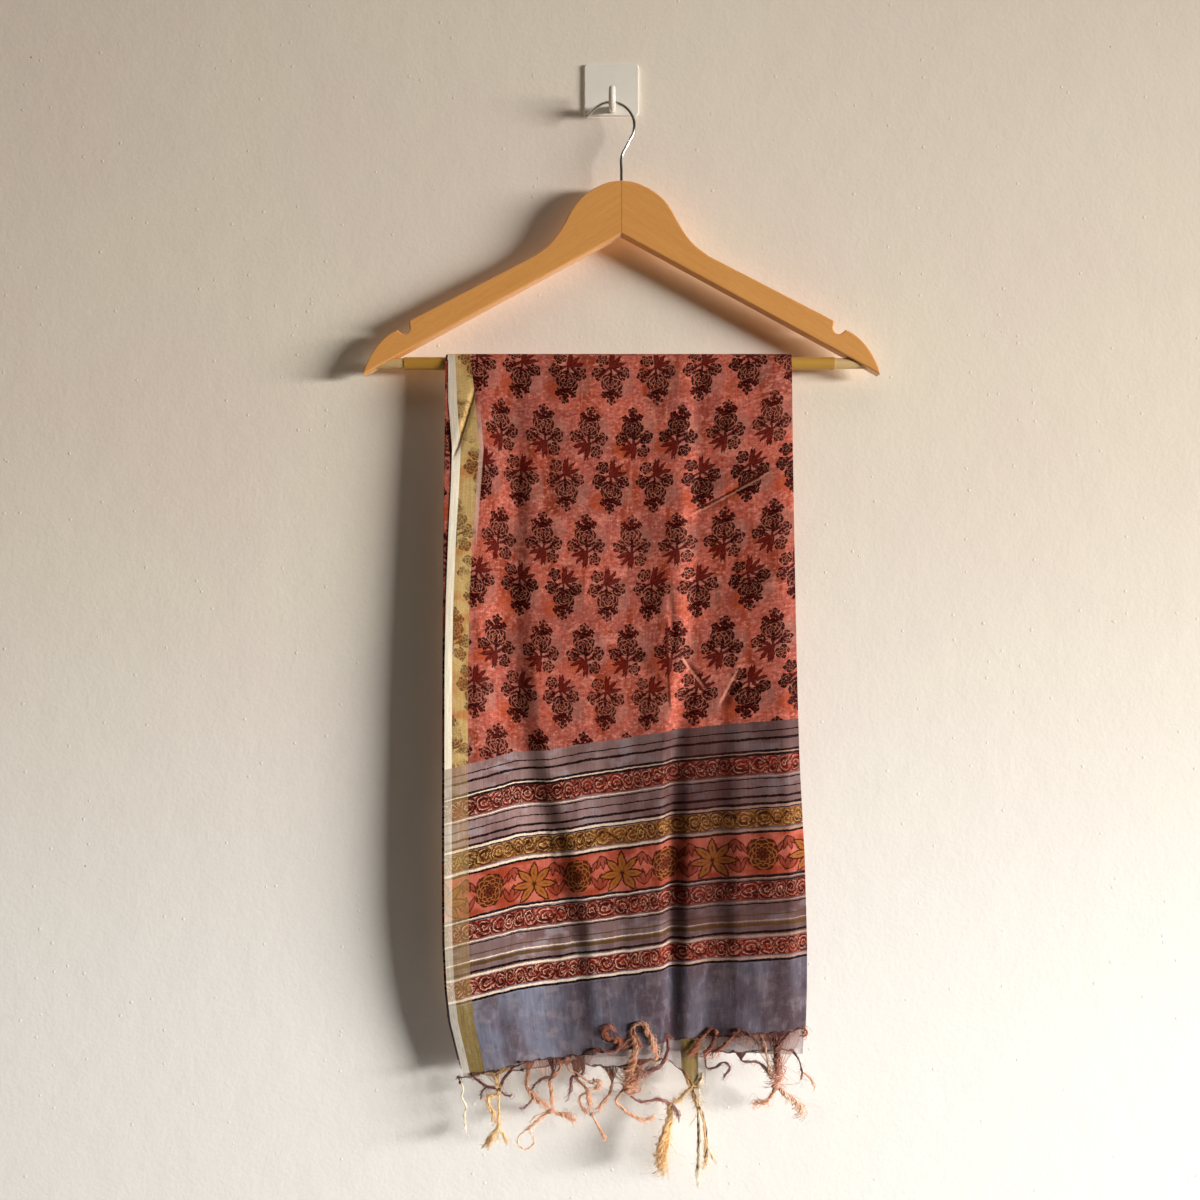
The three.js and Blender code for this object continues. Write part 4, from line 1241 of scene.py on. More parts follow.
# Locks of thread gathered at the hem, seen from the front: the hem they come from, kind,
# how many threads, from and to along the hem, how loose, how far in front of the cloth
# they lie, then the way they take as places right of the hook and below the bar.
LOCKS = [
    ("outer", "dark", 5, -138, -130, 0.5, 0.5, [(-131.5, 616), (-130.4, 619.6)]),
    ("outer", "dark", 8, -121, -112, 0.7, 0.8, [(-119.9, 612.9), (-105.5, 624.4), (-97.8, 625.9)]),
    ("outer", "dark", 7, -90, -72, 0.6, 0.8, [(-86.3, 609.1), (-93.0, 617.7), (-96.9, 625.9)]),
    ("outer", "gold", 14, -116, -84, 0.9, 0.4, [(-99.5, 618), (-97.2, 626), (-96.9, 631)]),
    (
        "outer", "peach", 14, -76, -66, 1.3, 0.8,
        [(-72.9, 616.8), (-72.9, 625.4), (-67.2, 634), (-59.5, 640.7), (-53.7, 646.5)],
    ),
    ("outer", "dark", 7, -56, -46, 0.7, 1.2, [(-51.8, 615.8), (-61.4, 619.6), (-69.1, 626.3), (-71, 631)]),
    (
        "outer", "peach", 10, -50, -38, 0.9, 0.6,
        [(-44.2, 609.1), (-53.3, 621.5), (-51.8, 635), (-53.7, 646.5)],
    ),
    (
        "outer", "pale", 8, -44, -34, 0.7, 1.0,
        [(-38.4, 609.1), (-26, 615.8), (-16.4, 621.5), (-11.6, 619.6), (-12.6, 623.5), (-21.2, 626.3)],
    ),
    ("outer", "mauve", 8, -32, -22, 0.7, 0.8, [(-26, 614.8), (-34.6, 617.7), (-35.5, 627.3), (-39.9, 639.8)]),
    (
        "inner", "peach", 10, -36, -24, 0.8, -1.0,
        [(-29.8, 619.6), (-23.1, 625.4), (-20.2, 636.9), (-18.3, 648.4)],
    ),
    ("inner", "peach", 8, -8, 6, 0.7, -1.0, [(-0.1, 622), (-0.8, 627.3), (-6.8, 636.9), (-15.4, 648.4)]),
    (
        "outer", "rust", 12, -26, -8, 0.9, 1.6,
        [
            (-16.3, 591.5), (-6.5, 592.6), (4.6, 591.3), (6.2, 582), (-2.8, 581.5), (-7.7, 575.3),
            (-1, 571.5), (4.6, 577),
        ],
    ),
    (
        "outer", "peach", 20, 4, 24, 2.0, 1.8,
        [(18.1, 580), (19.4, 591.3), (16.9, 602.4), (14.4, 612.3), (11.7, 622)],
    ),
    (
        "outer", "peach", 12, 14, 28, 1.2, 2.4,
        [(20, 569), (27, 569.5), (32.4, 580), (36.6, 592), (35.6, 599.9), (31, 601)],
    ),
    (
        "outer", "mauve", 14, 40, 56, 1.3, 1.6,
        [(47.7, 580), (48.2, 592), (42.8, 604.9), (30.4, 611), (18.1, 613.5), (12, 619.6)],
    ),
    ("inner", "rust", 18, 4, 30, 2.4, -0.5, [(16, 612), (15.7, 619.2), (14.4, 628)]),
    ("inner", "peach", 16, 8, 34, 2.8, -0.8, [(22, 610), (17, 619), (12, 628)]),
    ("inner", "gold", 14, 58, 76, 0.8, -2.0, [(69.8, 625.3), (64, 630.5), (57.5, 638.1), (50.8, 641.2)]),
    ("inner", "dark", 8, 62, 78, 0.6, -2.0, [(69.8, 626.6), (72.3, 636.9), (74.8, 645.5)]),
    ("inner", "gold", 12, 60, 77, 0.8, -2.4, [(68, 628), (72.3, 638), (74.5, 646)]),
    ("inner", "cream", 7, 70, 77.5, 0.6, -2.0, [(78.4, 614.7), (76, 627), (75.4, 636.9), (74.8, 645)]),
    ("outer", "rust", 14, 82, 96, 1.0, 1.2, [(85.8, 575.1), (77.2, 583.5), (69.4, 594.6), (64, 600)]),
    ("outer", "rust", 12, 88, 94, 0.9, 1.6, [(89.5, 580), (85.6, 589), (80.4, 597), (78.4, 601.9)]),
    ("outer", "rust", 12, 100, 110, 0.9, 1.0, [(106.8, 574.9), (99.4, 583.5), (92, 592.3), (83.4, 598.5)]),
    (
        "middle", "mauve", 7, 79, 88, 0.5, -0.6,
        [
            (80.9, 600.7), (82.1, 609.8), (89.5, 608.6), (96.9, 602.4), (100.6, 604.9), (98.1, 612.3),
            (92.6, 620.9),
        ],
    ),
    ("outer", "dark", 7, 104, 112, 0.5, 1.0, [(110, 573.6), (118.6, 578.3), (127.7, 588.4)]),
    ("outer", "pale", 8, 124, 132, 0.5, 1.4, [(128.9, 581.5), (132.6, 597.5), (135.1, 612.3), (137, 618)]),
    ("middle", "mauve", 9, 106, 116, 0.6, -0.6, [(111.2, 600), (124, 601.7), (131.4, 607.1), (137.5, 616.7)]),
    ("outer", "blush", 24, 130, 152, 2.2, 0.8, [(141, 593), (141.2, 607.3), (140, 624.6)]),
    ("outer", "rust", 7, 154, 163, 0.7, 1.0, [(163.4, 572.4), (167.1, 576.3), (164.6, 580), (160.5, 578)]),
    ("middle", "dark", 4, 152, 156, 0.3, 0.0, [(160.3, 600.2), (162.8, 609.8), (162.2, 618.4)]),
]
# Tails that start at a knot: kind, threads, how loose, how far in front, way.
TAILS = [
    (
        "cream", 4, 0.45, 0.5,
        [
            (-130.4, 619.6), (-127.6, 626), (-129.2, 631), (-125.6, 640.7), (-126.7, 650.3),
            (-126.1, 658), (-124.2, 667.5),
        ],
    ),
    ("dark", 5, 0.45, 1.0, [(-97.8, 625.9), (-107.4, 624.4), (-112.2, 629.2), (-112.7, 635.5)]),
    ("dark", 5, 0.45, 1.0, [(-97.8, 625.4), (-91.1, 631.1), (-86.3, 631.4), (-85.8, 628.6)]),
    (
        "gold", 12, 1.2, 0.8,
        [
            (-96.9, 628.3), (-98.9, 631.4), (-106.4, 632.1), (-105.5, 640.7), (-100.7, 650.3),
            (-98.2, 658),
        ],
    ),
    (
        "gold", 11, 0.6, 0.6,
        [
            (-96.9, 627.3), (-97.1, 639.8), (-97.3, 649.3), (-98.3, 658.9), (-104.5, 666.6),
            (-113.1, 679),
        ],
    ),
    ("gold", 10, 0.7, 0.6, [(-97.6, 650), (-98.3, 658.9), (-101.6, 664.7), (-107.4, 678.1)]),
    ("gold", 9, 0.6, 0.6, [(-97.6, 650), (-97.6, 658.9), (-93, 665.7), (-88.7, 674.6)]),
    ("cream", 7, 1.0, 0.4, [(-97.6, 655), (-97.8, 663), (-98.2, 673)]),
    (
        "pale", 4, 0.4, 0.6,
        [
            (-53.7, 647.4), (-65.2, 657), (-72.9, 661.8), (-79.6, 666.6), (-80.6, 673.3), (-73.9, 678.1),
            (-67.2, 674.2), (-68.6, 666), (-72.4, 662.5),
        ],
    ),
    ("pale", 7, 0.9, 0.6, [(-53.7, 647.4), (-60.5, 651.5), (-68, 658), (-75.5, 663.5)]),
    ("pale", 3, 0.4, 0.3, [(-55.7, 647.4), (-64.3, 650.3), (-71, 656)]),
    ("peach", 14, 1.3, 0.8, [(-52.8, 645.5), (-46, 649.2), (-38.3, 651.2), (-29.8, 656.2)]),
    ("mauve", 4, 0.5, 0.4, [(-68.1, 634.9), (-72.7, 640.6), (-79.6, 644.5)]),
    ("peach", 8, 0.6, -1.0, [(-20.2, 630.2), (-27.9, 635), (-26, 643.6), (-18.3, 649.3)]),
    ("peach", 8, 0.6, -1.0, [(-17.3, 648.3), (-14.9, 653.2), (-10.6, 660.8), (-4.4, 671.6)]),
    (
        "peach", 10, 0.8, 0.0,
        [(10.1, 625), (3.4, 635.6), (12, 644.3), (24.3, 651.6), (34.1, 651.6), (39.1, 648.6)],
    ),
    (
        "mauve", 12, 0.8, 0.4,
        [(13.4, 628.9), (24.3, 636.4), (39.1, 635.6), (50.9, 641.8), (56.1, 647.7), (59.2, 656)],
    ),
    ("peach", 8, 1.2, 0.2, [(-16.3, 617.6), (-10.4, 621.3), (-12, 625.5), (-16.8, 623)]),
    ("gold", 22, 1.9, -1.0, [(49.9, 641.2), (48.9, 655.3), (44.8, 665.2), (41.3, 680), (41.5, 704.3)]),
    ("gold", 14, 1.3, -1.0, [(50.3, 644), (51.2, 656.6), (48.3, 668.9), (45.2, 683.6), (42.8, 699.4)]),
    ("cream", 2, 0.2, -1.0, [(48.7, 668.3), (51, 675), (56.3, 683.6)]),
    ("cream", 11, 0.7, -2.0, [(74.6, 645), (76.2, 665.2), (75.6, 686.1), (73.5, 713.9)]),
    ("dark", 6, 0.4, -2.6, [(74.2, 645), (74.6, 665.2), (74.4, 686.1), (73, 704)]),
    ("gold", 9, 0.6, -2.0, [(75.4, 643.9), (79.3, 657.3), (80.9, 677.5), (80.3, 701.2)]),
    ("dark", 6, 0.4, -2.6, [(76, 643.9), (80.3, 657.3), (82.1, 675.5), (81.2, 696)]),
    ("gold", 4, 0.3, -2.0, [(80.9, 671.8), (84.2, 681.9), (90.1, 692.9)]),
    ("cream", 2, 0.2, -2.0, [(73.7, 647.9), (71.2, 655), (66.1, 660.3)]),
    ("peach", 12, 1.1, 0.4, [(139.8, 621.6), (136, 630.8), (128.6, 636.4), (117.8, 636.3)]),
    ("pale", 16, 1.7, 0.4, [(140.7, 621.6), (148.5, 629.4), (157.7, 636.1), (163.4, 650.2)]),
    ("peach", 5, 0.4, 0.0, [(162.2, 617.4), (163.4, 612.3), (169.6, 615.9), (174.5, 626.3)]),
]
KNOTS = [  # kind, place right of the hook, down, how far in front, half width, half height
    ("dark", -130.4, 620.4, 0.7, 1.3, 1.6),
    ("dark", -97.4, 626.2, 1.0, 2.0, 1.7),
    ("peach", -53.7, 646.9, 0.9, 2.3, 2.2),
    ("peach", -17.3, 649.0, -0.9, 1.8, 1.7),
    ("rust", 2.6, 583.5, 2.0, 2.6, 2.2),
    ("peach", 13.4, 624.6, 0.8, 4.0, 4.6),
    ("rust", 16.4, 617.0, 0.8, 3.2, 3.4),
    ("gold", 50.4, 641.6, -0.9, 1.9, 2.0),
    ("dark", 75.0, 644.9, -1.8, 1.9, 2.2),
    ("rust", 89.5, 577.2, 1.6, 2.0, 2.2),
    ("dark", 107.6, 573.6, 1.2, 2.4, 1.6),
    ("pale", 140.0, 622.4, 0.8, 3.4, 3.0),
    ("dark", -78.7, 603.0, 0.7, 2.6, 1.2),
    ("mauve", -39.5, 601.6, 0.8, 2.6, 1.5),
    ("peach", 165.0, 576.6, 1.0, 1.6, 1.6),
]
# Thin webs of weft left in the gathered ends: from and to along the hem, and the knot.
WEBS = [
    ("outer", "mauve", -112, -86, -97.4, 624.5),
    ("outer", "gold", -130, -112, -121, 617.5),
    ("outer", "peach", -70, -40, -56.5, 622.0),
    ("outer", "mauve", -46, -14, -28.0, 613.0),
    ("inner", "peach", -10, 40, 14.4, 622.0),
    ("outer", "rust", 84, 108, 86.0, 597.0),
    ("outer", "dark", 98, 130, 116.0, 590.0),
    ("outer", "pale", 118, 163, 141.0, 612.0),
]
# The hem itself, rolled and twisted dark: the hem, kind, from and to along it.
HEM_CORDS = [
    ("outer", "dark", -136, -100),
    ("outer", "dark", -90, -8),
    ("outer", "dark", 56, 163),
    ("inner", "mauve", -128, 66),
    ("middle", "mauve", 80, 154),
]


def place_of(x, down):
    """The place on the outer layer that hangs at x in the room: spread_out, turned round."""
    left, crease, right = (np.interp(down, OUTLINE[:, 0], OUTLINE[:, k]) for k in (1, 2, 3))
    near = CREASE + (x - crease) * (CREASE - LEFT_EDGE) / (crease - left)
    far = CREASE + (x - crease) * (RIGHT_FOLD - CREASE) / (right - crease)
    return np.where(x < crease, near, far)


def hung(x, down, front):
    """A place in the room, so far in front of the outer layer, at x and below the bar."""
    held = np.minimum(down, FULL_DOWN)
    place = place_of(x, held)
    y = in_front(place, 0.0, 5, held)[..., 1] - front
    return np.stack(np.broadcast_arrays(x, y, BAR_Z - down), axis=-1)


def hem_points(hem, x):
    """Points on the very edge of one end, at places x in the room."""
    end, layer, rank = HEMS[hem]
    place = place_of(x, FULL_DOWN)
    down = read(END_EDGES[layer], place, end)
    return in_front(place, 0.0, rank, down)


def twisted(course, count, loose, rooted, chance):
    """Threads wound loosely round a course: (thread, ring, xyz).

    A thread stands off by loose times 0.45 and a flare that grows as the share cubed, on a
    slow helix, and drifts on two sines of its own. Rooted threads start on the hem.
    """
    share = np.linspace(0, 1, course.shape[1])
    phase = chance.uniform(0, 2 * math.pi, (count, 3, 1))
    ahead = unit(np.gradient(course, axis=1))
    side = unit(np.stack([-ahead[..., 2], 0 * ahead[..., 0], ahead[..., 0]], axis=-1))
    away = np.cross(ahead, side)
    long = np.linalg.norm(np.diff(course, axis=1), axis=-1).sum(axis=1)[:, None]
    turn = phase[:, 0] + 2 * math.pi * (0.8 + long / TWIST_LENGTH) * share
    swell = 1 + 0.5 * np.sin(phase[:, 1] + 2 * math.pi * (long / SWELL_LENGTH) * share)
    off = loose * chance.uniform(0.15, 1.0, (count, 1)) * swell * (0.45 + 1.3 * share**3)
    if rooted:
        off = off * ease(share, 0, 0.35)
    drift = 0.5 * loose * share * np.sin(phase[:, 1] + 2 * math.pi * 1.3 * share)
    lift = 0.4 * loose * share * np.sin(phase[:, 2] + 2 * math.pi * 2.1 * share)
    across = off * np.cos(turn) + drift
    outward = off * np.sin(turn) + lift
    return course + side * across[..., None] + away * outward[..., None]


def lock_threads(hem, count, low, high, loose, front, way, chance):
    """The threads of one lock, and with them a few that fly loose."""
    count = round(count * FULLNESS)
    loose = loose * LOOSENESS
    flying = max(1, round(count * FLY_SHARE))
    count += flying
    down = np.array(way, float)
    bed = hung(down[:, 0], down[:, 1], front)
    starts = np.repeat(bed[:1], count, axis=0)
    if hem:
        along = low + (high - low) * (chance.permutation(count) + 0.5) / count
        starts = hem_points(hem, along)
        bed = bed if len(bed) > 1 else np.repeat(bed, 2, axis=0)
    else:
        bed = bed[1:]
    ends = chance.uniform(0.84, 1.0, count)
    ways = [
        smooth_course([start, *bed], THREAD_RINGS, until) for start, until in zip(starts, ends)
    ]
    spread = np.where(np.arange(count) < flying, 2.4 * loose + 0.5, loose)[:, None]
    threads = twisted(np.array(ways), count, spread, bool(hem), chance)
    fine = np.where(np.arange(count) < flying, 0.35, 1.0)[:, None]
    share = np.linspace(0, 1, THREAD_RINGS)
    radii = THREAD_RADIUS * fine * chance.uniform(0.7, 1.25, (count, 1)) * (1 - 0.55 * share**2)
    return threads, radii


def hairs(threads, own, chance):
    """Fine hairs that stand off the threads: (hair, ring, xyz), and their marks.

    Each leaves a chance place on a thread, straight at first, then sags and curls.
    """
    picked = chance.integers(0, len(threads), HAIRS)
    ring = chance.integers(2, THREAD_RINGS, HAIRS)
    share = np.linspace(0, 1, HAIR_RINGS)[:, None]
    lead = unit(chance.normal(0, 1, (HAIRS, 1, 3)) * (1, 0.35, 1))
    bend = unit(chance.normal(0, 1, (HAIRS, 1, 3)) * (1, 0.3, 1) - (0, 0, 0.5))
    reach = chance.uniform(*HAIR_LENGTH, (HAIRS, 1, 1))
    curl = lead * share + bend * 1.5 * share**2 - lead * share**3
    course = threads[picked, ring][:, None] + reach * curl
    marks = np.repeat(own[picked, ring][:, None], HAIR_RINGS, axis=1)
    marks[..., 0] = 1.0
    return course, marks


def hem_cords(hem, low, high, chance):
    """Short lengths of the twisted edge, end to end: three threads in each."""
    cuts = ladder(low, high, CORD_LENGTH)
    lengths = []
    for start, stop in zip(cuts[:-1], cuts[1:]):
        x = np.linspace(start - 1.5, stop + 1.5, THREAD_RINGS)
        course = hem_points(hem, x) - (0, 0.5, 0)
        course[:, 2] += 0.5 * np.sin(x / 3.1) + 0.4 * np.sin(x / 1.7 + 2)
        lengths.append(twisted(course[None] + np.zeros((3, 1, 1)), 3, 0.9, False, chance))
    return np.concatenate(lengths)


def knot_skin(x, down, front, wide, tall):
    """A lump of a knot: an egg whose skin swells and sinks by two crossing sines."""
    around, up = np.meshgrid(np.linspace(0, 2 * math.pi, 17)[:-1], np.linspace(0, math.pi, 11))
    swell = 1 + 0.13 * np.sin(3 * around + 4 * up) + 0.1 * np.sin(5 * up - 2 * around)
    shape = np.stack([wide * np.cos(around), wide * 0.75 * np.sin(around), 0 * up], axis=-1)
    egg = shape * (np.sin(up) * swell)[..., None]
    egg[..., 2] = tall * np.cos(up)
    return hung(np.array(x), np.array(down), front) + egg


def web_skin(hem, low, high, x, down):
    """A web: from the hem each weft end sinks towards the knot, drawn in as it goes.

    The draw-in is the share down to the power 1.4, and the web bellies out a little.
    """
    edge = hem_points(hem, np.linspace(low, high, 19))
    share = np.linspace(0, 1, 13)[:, None, None]
    knot = hung(np.array(x), np.array(down), 0.4)
    drawn = edge * (1 - share**1.4) + knot * share**1.4
    drawn[..., 2] = (edge * (1 - share) + knot * share)[..., 2]
    drawn[..., 1] -= 0.8 * np.sin(math.pi * share[..., 0])
    return drawn


def spun_thread():
    """Loosely spun silk-cotton, its colour by kind and from hem to tip."""
    finish = Finish("spun_thread")
    own = finish.node("Attribute", {}, "Vector", attribute_name="thread")
    share, kind, chance = finish.parts(own)
    kinds = list(YARNS.values())
    shown = list(kinds[0])
    for k, pair in enumerate(kinds[1:], 1):
        shown = [finish.blend(kind > k - 0.5, was, new) for was, new in zip(shown, pair)]
    fibre = finish.noise(finish.here((1, 1, 0.4)), 2.6, 3, 0.7)
    colour = finish.blend(finish.ease(share + chance * 0.3, 0.1, 0.85), shown[0], shown[1])
    colour = finish.blend(finish.ease(fibre, 0.5, 0.32) * 0.5, colour, dye(84, 44, 34))
    colour = finish.blend(finish.ease(fibre, 0.55, 0.7) * 0.3, colour, dye(246, 214, 186))
    normal = finish.bump(fibre, 0.15 * MM, 0.6)
    sheen = {"Sheen_Weight": 0.25, "Sheen_Roughness": 0.5}
    return finish.wear(colour, 0.8, normal, Specular_IOR_Level=0.15, **sheen)


def frayed_web():
    """The web's few wefts: streaks that run to the knot, with gaps between them."""
    finish = Finish("frayed_web")
    own = finish.node("Attribute", {}, "Vector", attribute_name="thread")
    streak = finish.noise(finish.point_math("MULTIPLY", own, (0.9, 26.0, 1.0)), 1.0, 4, 0.7)
    colour = finish.blend(streak, dye(92, 52, 46), dye(190, 138, 118))
    finish.feed(finish.shader.inputs["Alpha"], finish.ease(streak, 0.34, 0.74) * 0.85 + 0.06)
    return finish.wear(colour, 0.8, finish.bump(streak, 0.2 * MM), Specular_IOR_Level=0.2)


def fringe(name, hems, slot_materials, node):
    """All that is knotted on one end, as one mesh: threads, knots and webs."""
    chance = np.random.default_rng(len(name))
    kinds = list(YARNS)
    threads, radii, own = [], [], []
    rows = [row for row in LOCKS if row[0] in hems]
    if "outer" in hems:
        rows += [(None, kind, n, 0, 0, loose, front, way) for kind, n, loose, front, way in TAILS]
    knots = KNOTS if "outer" in hems else []
    webs = [web for web in WEBS if web[0] in hems]
    for hem, kind, count, low, high, loose, front, way in rows:
        made, thick = lock_threads(hem, count, low, high, loose, front, way, chance)
        threads.append(made)
        radii.append(thick)
        share = np.linspace(0.0 if hem else 0.45, 0.75 if hem else 1.0, THREAD_RINGS)
        luck = chance.uniform(0, 1, len(made))
        own.append(np.stack(np.broadcast_arrays(share, kinds.index(kind), luck[:, None]), axis=-1))
    for hem, kind, low, high in HEM_CORDS:
        if hem in hems:
            made = hem_cords(hem, low, high, chance)
            threads.append(made)
            radii.append(np.full(made.shape[:2], CORD_RADIUS))
            mark = np.array([0.25, kinds.index(kind), 0.3])
            own.append(np.broadcast_to(mark, made.shape))
    threads, own = np.concatenate(threads), np.concatenate(own)
    points, faces = tubes(threads, np.concatenate(radii), THREAD_SIDES)
    marks = np.repeat(own.reshape(-1, 3), THREAD_SIDES, axis=0)
    fuzz, fuzz_own = hairs(threads, own, chance)
    thin = np.full(fuzz.shape[:2], HAIR_RADIUS)
    fuzz_points, fuzz_faces = tubes(fuzz, thin, 3)
    faces += [[corner + len(points) for corner in face] for face in fuzz_faces]
    points = np.concatenate([points, fuzz_points])
    marks = np.concatenate([marks, np.repeat(fuzz_own.reshape(-1, 3), 3, axis=0)])
    webbed = [0] * len(faces)
    for kind, x, down, front, wide, tall in knots:
        egg = knot_skin(x, down, front, wide, tall)
        shell = skin(egg, closed_across=True)[:, ::-1] + len(points)
        faces += shell.tolist()
        webbed += [0] * len(shell)
        points = np.concatenate([points, egg.reshape(-1, 3)])
        marks = np.concatenate([marks, np.tile([0.35, kinds.index(kind), 0.5], (egg[..., 0].size, 1))])
    for hem, kind, low, high, x, down in webs:
        web = web_skin(hem, low, high, x, down)
        sheet = skin(web, closed_across=False) + len(points)
        faces += sheet.tolist()
        webbed += [1] * len(sheet)
        points = np.concatenate([points, web.reshape(-1, 3)])
        v, u = np.meshgrid(np.linspace(0, 1, web.shape[0]), np.linspace(0, 1, web.shape[1]), indexing="ij")
        marks = np.concatenate([marks, np.stack([v, u + low, 0 * u], axis=-1).reshape(-1, 3)])
    points[:, 1] = np.maximum(points[:, 1], NEAREST)
    made = piece(name, points, faces, slot_materials[0])
    made.data.materials.append(slot_materials[1])
    made.data.polygons.foreach_set("material_index", webbed)
    measures = made.data.attributes.new("thread", "FLOAT_VECTOR", "POINT")
    measures.data.foreach_set("vector", marks.astype(np.float32).ravel())
    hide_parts(node)
    return made


fringe_finishes = [spun_thread(), frayed_web()]
outer_fringe = fringe("fringe_outer_threads", ["outer"], fringe_finishes, "fringe_outer")
inner_fringe = fringe("fringe_inner_threads", ["inner", "middle"], fringe_finishes, "fringe_inner")


# ---- Room and light -------------------------------------------------------------------
# A painted wall that shows from its front only, so that the cloth's back can be looked at
# too, a pale floor far below, daylight from a wide low window on the right, and the soft
# light that ceiling, floor and room give back.
EYE = (-10.2, -1070.0, -452.7)
VIEW = math.radians(53.0)
FLOOR = -2400.0
HALF_ROOM = 3000.0
WALL_GAP = 0.6
# Heights over which the wall's paint turns to its paler low colour: painted light.
PAINTED_LIGHT_HEIGHTS = (-250.0, -900.0)
PAINT_SPOTS = [  # cells to the millimetre, how far a spot reaches, share of cells with one
    (0.011, 2.7, 0.28),
    (0.023, 0.9, 0.3),
    (0.07, 1.3, 0.5),
]
WINDOW = {"place": (4500, -2400, -250), "size": (2400, 600), "power": 48}
WINDOW_SPREAD = math.radians(50)
FLOOR_GLOW = {"place": (400, -520, -1480), "size": (1600, 500), "power": 0.8}
ROOM_FRONT = {"place": (-500, -2600, 500), "size": (2200, 1800), "power": 0.04}
CEILING_GLOW = {"place": (200, -800, 900), "size": (1800, 500), "power": 3.6}
ROOM_BEHIND = {"place": (900, 2400, 300), "size": (2000, 1800), "power": 60}


def plain_paint(name, pale, deep, low, one_sided=False):
    """Roller-painted wall or floor: slow cloudiness, the nap's fine pimples, old chips.

    Colour low is what the paint fades to by the floor: painted light, the wall paler and more neutral lower
    down.
    """
    finish = Finish(name)
    place = finish.here()
    cloud = finish.noise(place, 0.005, 2)
    nap = finish.noise(place, 0.3, 3, 0.6)
    trowel = finish.noise(place, 0.02, 3, 0.6)
    _, _, height = finish.parts(place)
    colour = finish.blend(finish.ease(cloud, 0.4, 0.6), pale, deep)
    # Painted light: the paint turns paler and more neutral lower down.
    colour = finish.blend(finish.ease(height, *PAINTED_LIGHT_HEIGHTS), colour, low)
    spots = []
    for scale, size, share in PAINT_SPOTS:
        cells = {"Vector": place, "Scale": scale}
        away = finish.node("TexVoronoi", cells) + nap * (0.9 * scale * size) - 0.45 * scale * size
        luck, _, _ = finish.parts(finish.node("TexVoronoi", cells, "Color"))
        spots.append(finish.ease(away, 1.1 * scale * size, 0.7 * scale * size) * (luck < share))
    chip, nick, pimple = spots
    dark = (chip * 0.7).math("MAXIMUM", nick * 0.8)
    colour = finish.blend(dark, colour, dye(122, 104, 88))
    rise = nap * 0.7 + trowel * 2.4 + pimple * 0.9 - chip * 1.6 - nick
    normal = finish.bump(rise, 0.5 * MM, 0.6)
    painted = finish.wear(colour, 0.9, normal)
    if one_sided:
        back = finish.node("NewGeometry", {}, "Backfacing")
        clear = finish.node("BsdfTransparent", {})
        shader = Measure(finish, finish.shader.outputs[0])
        shown = finish.node("MixShader", {0: back, 1: shader, 2: clear})
        finish.feed(finish.tree.nodes["Material Output"].inputs["Surface"], shown)
    return painted


def slab(name, corners, material):
    """A flat stage sheet through four corners, its face on the side they turn round."""
    mesh = bpy.data.meshes.new(name)
    mesh.from_pydata((np.array(corners) * MM).tolist(), [], [(0, 1, 2, 3)])
    mesh.materials.append(material)
    made = bpy.data.objects.new(name, mesh)
    bpy.context.scene.collection.objects.link(made)
    return made


wide = HALF_ROOM
wall = slab(
    "wall_behind",
    [(-wide, WALL_GAP, FLOOR), (wide, WALL_GAP, FLOOR), (wide, WALL_GAP, wide), (-wide, WALL_GAP, wide)],
    plain_paint("pale_wall", dye(229, 220, 205), dye(229, 217, 205), dye(239, 238, 236), one_sided=True),
)
wall.visible_shadow = False
slab(
    "pale_floor",
    [(-wide, -wide, FLOOR), (wide, -wide, FLOOR), (wide, wide, FLOOR), (-wide, wide, FLOOR)],
    plain_paint("pale_floor_paint", dye(230, 208, 182), dye(222, 200, 174), dye(230, 208, 182)),
)


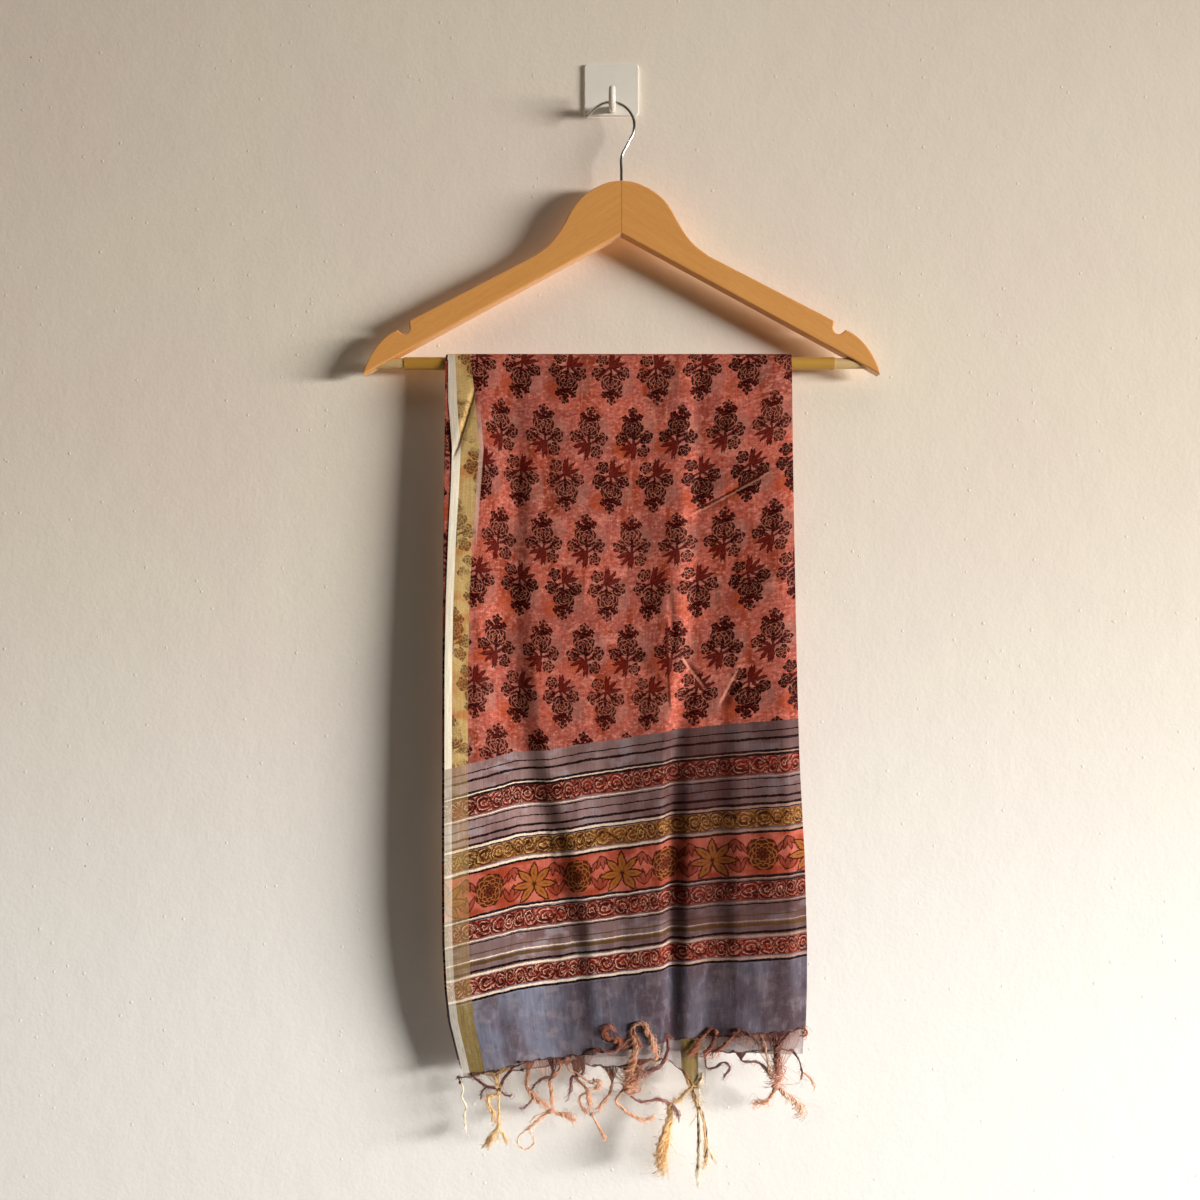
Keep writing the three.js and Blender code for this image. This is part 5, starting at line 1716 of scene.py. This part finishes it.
def lamp(name, place, size, power, colour, aim=(0, 0, -480)):
    """A flat square-cornered lamp that faces the point it is aimed at."""
    light = bpy.data.lights.new(name, "AREA")
    light.shape = "RECTANGLE"
    light.size, light.size_y = size[0] * MM, size[1] * MM
    light.energy = power
    light.color = colour
    made = bpy.data.objects.new(name, light)
    bpy.context.scene.collection.objects.link(made)
    made.location = Vector(place) * MM
    made.rotation_euler = (Vector(aim) - Vector(place)).to_track_quat("-Z", "Y").to_euler()
    return made


window = lamp("window_right", **WINDOW, colour=(1.0, 0.96, 0.9), aim=(450, 0, -1080))
window.data.spread = WINDOW_SPREAD
lamp("floor_glow", **FLOOR_GLOW, colour=(0.5, 0.74, 1.0), aim=(0, 0, -950))
lamp("ceiling_glow", **CEILING_GLOW, colour=(1.0, 0.9, 0.76), aim=(0, 0, 150))
lamp("room_front", **ROOM_FRONT, colour=(1.0, 0.8, 0.58))
lamp("room_behind", **ROOM_BEHIND, colour=(1.0, 0.97, 0.93))

# The room's air gives hardly any light, but past the wall's edge it is seen as pale.
AIR_LIGHT = ((1.0, 0.74, 0.5, 1), 0.008)
AIR_SEEN = ((0.74, 0.7, 0.64, 1), 1.0)
world = bpy.data.worlds.new("room_air")
world.use_nodes = True
air = world.node_tree
lit = air.nodes["Background"]
lit.inputs["Color"].default_value, lit.inputs["Strength"].default_value = AIR_LIGHT
seen = air.nodes.new("ShaderNodeBackground")
seen.inputs["Color"].default_value, seen.inputs["Strength"].default_value = AIR_SEEN
mixed = air.nodes.new("ShaderNodeMixShader")
air.links.new(air.nodes.new("ShaderNodeLightPath").outputs["Is Camera Ray"], mixed.inputs[0])
air.links.new(lit.outputs[0], mixed.inputs[1])
air.links.new(seen.outputs[0], mixed.inputs[2])
air.links.new(mixed.outputs[0], air.nodes["World Output"].inputs["Surface"])
bpy.context.scene.world = world

eye = bpy.data.cameras.new("eye")
eye.sensor_width = 36.0
eye.lens = eye.sensor_width / 2 / math.tan(VIEW / 2)
camera = bpy.data.objects.new("eye", eye)
bpy.context.scene.collection.objects.link(camera)
camera.location = [c * MM for c in EYE]
camera.rotation_euler = (math.pi / 2, 0, 0)
bpy.context.scene.camera = camera
bpy.context.scene.view_settings.view_transform = "Standard"
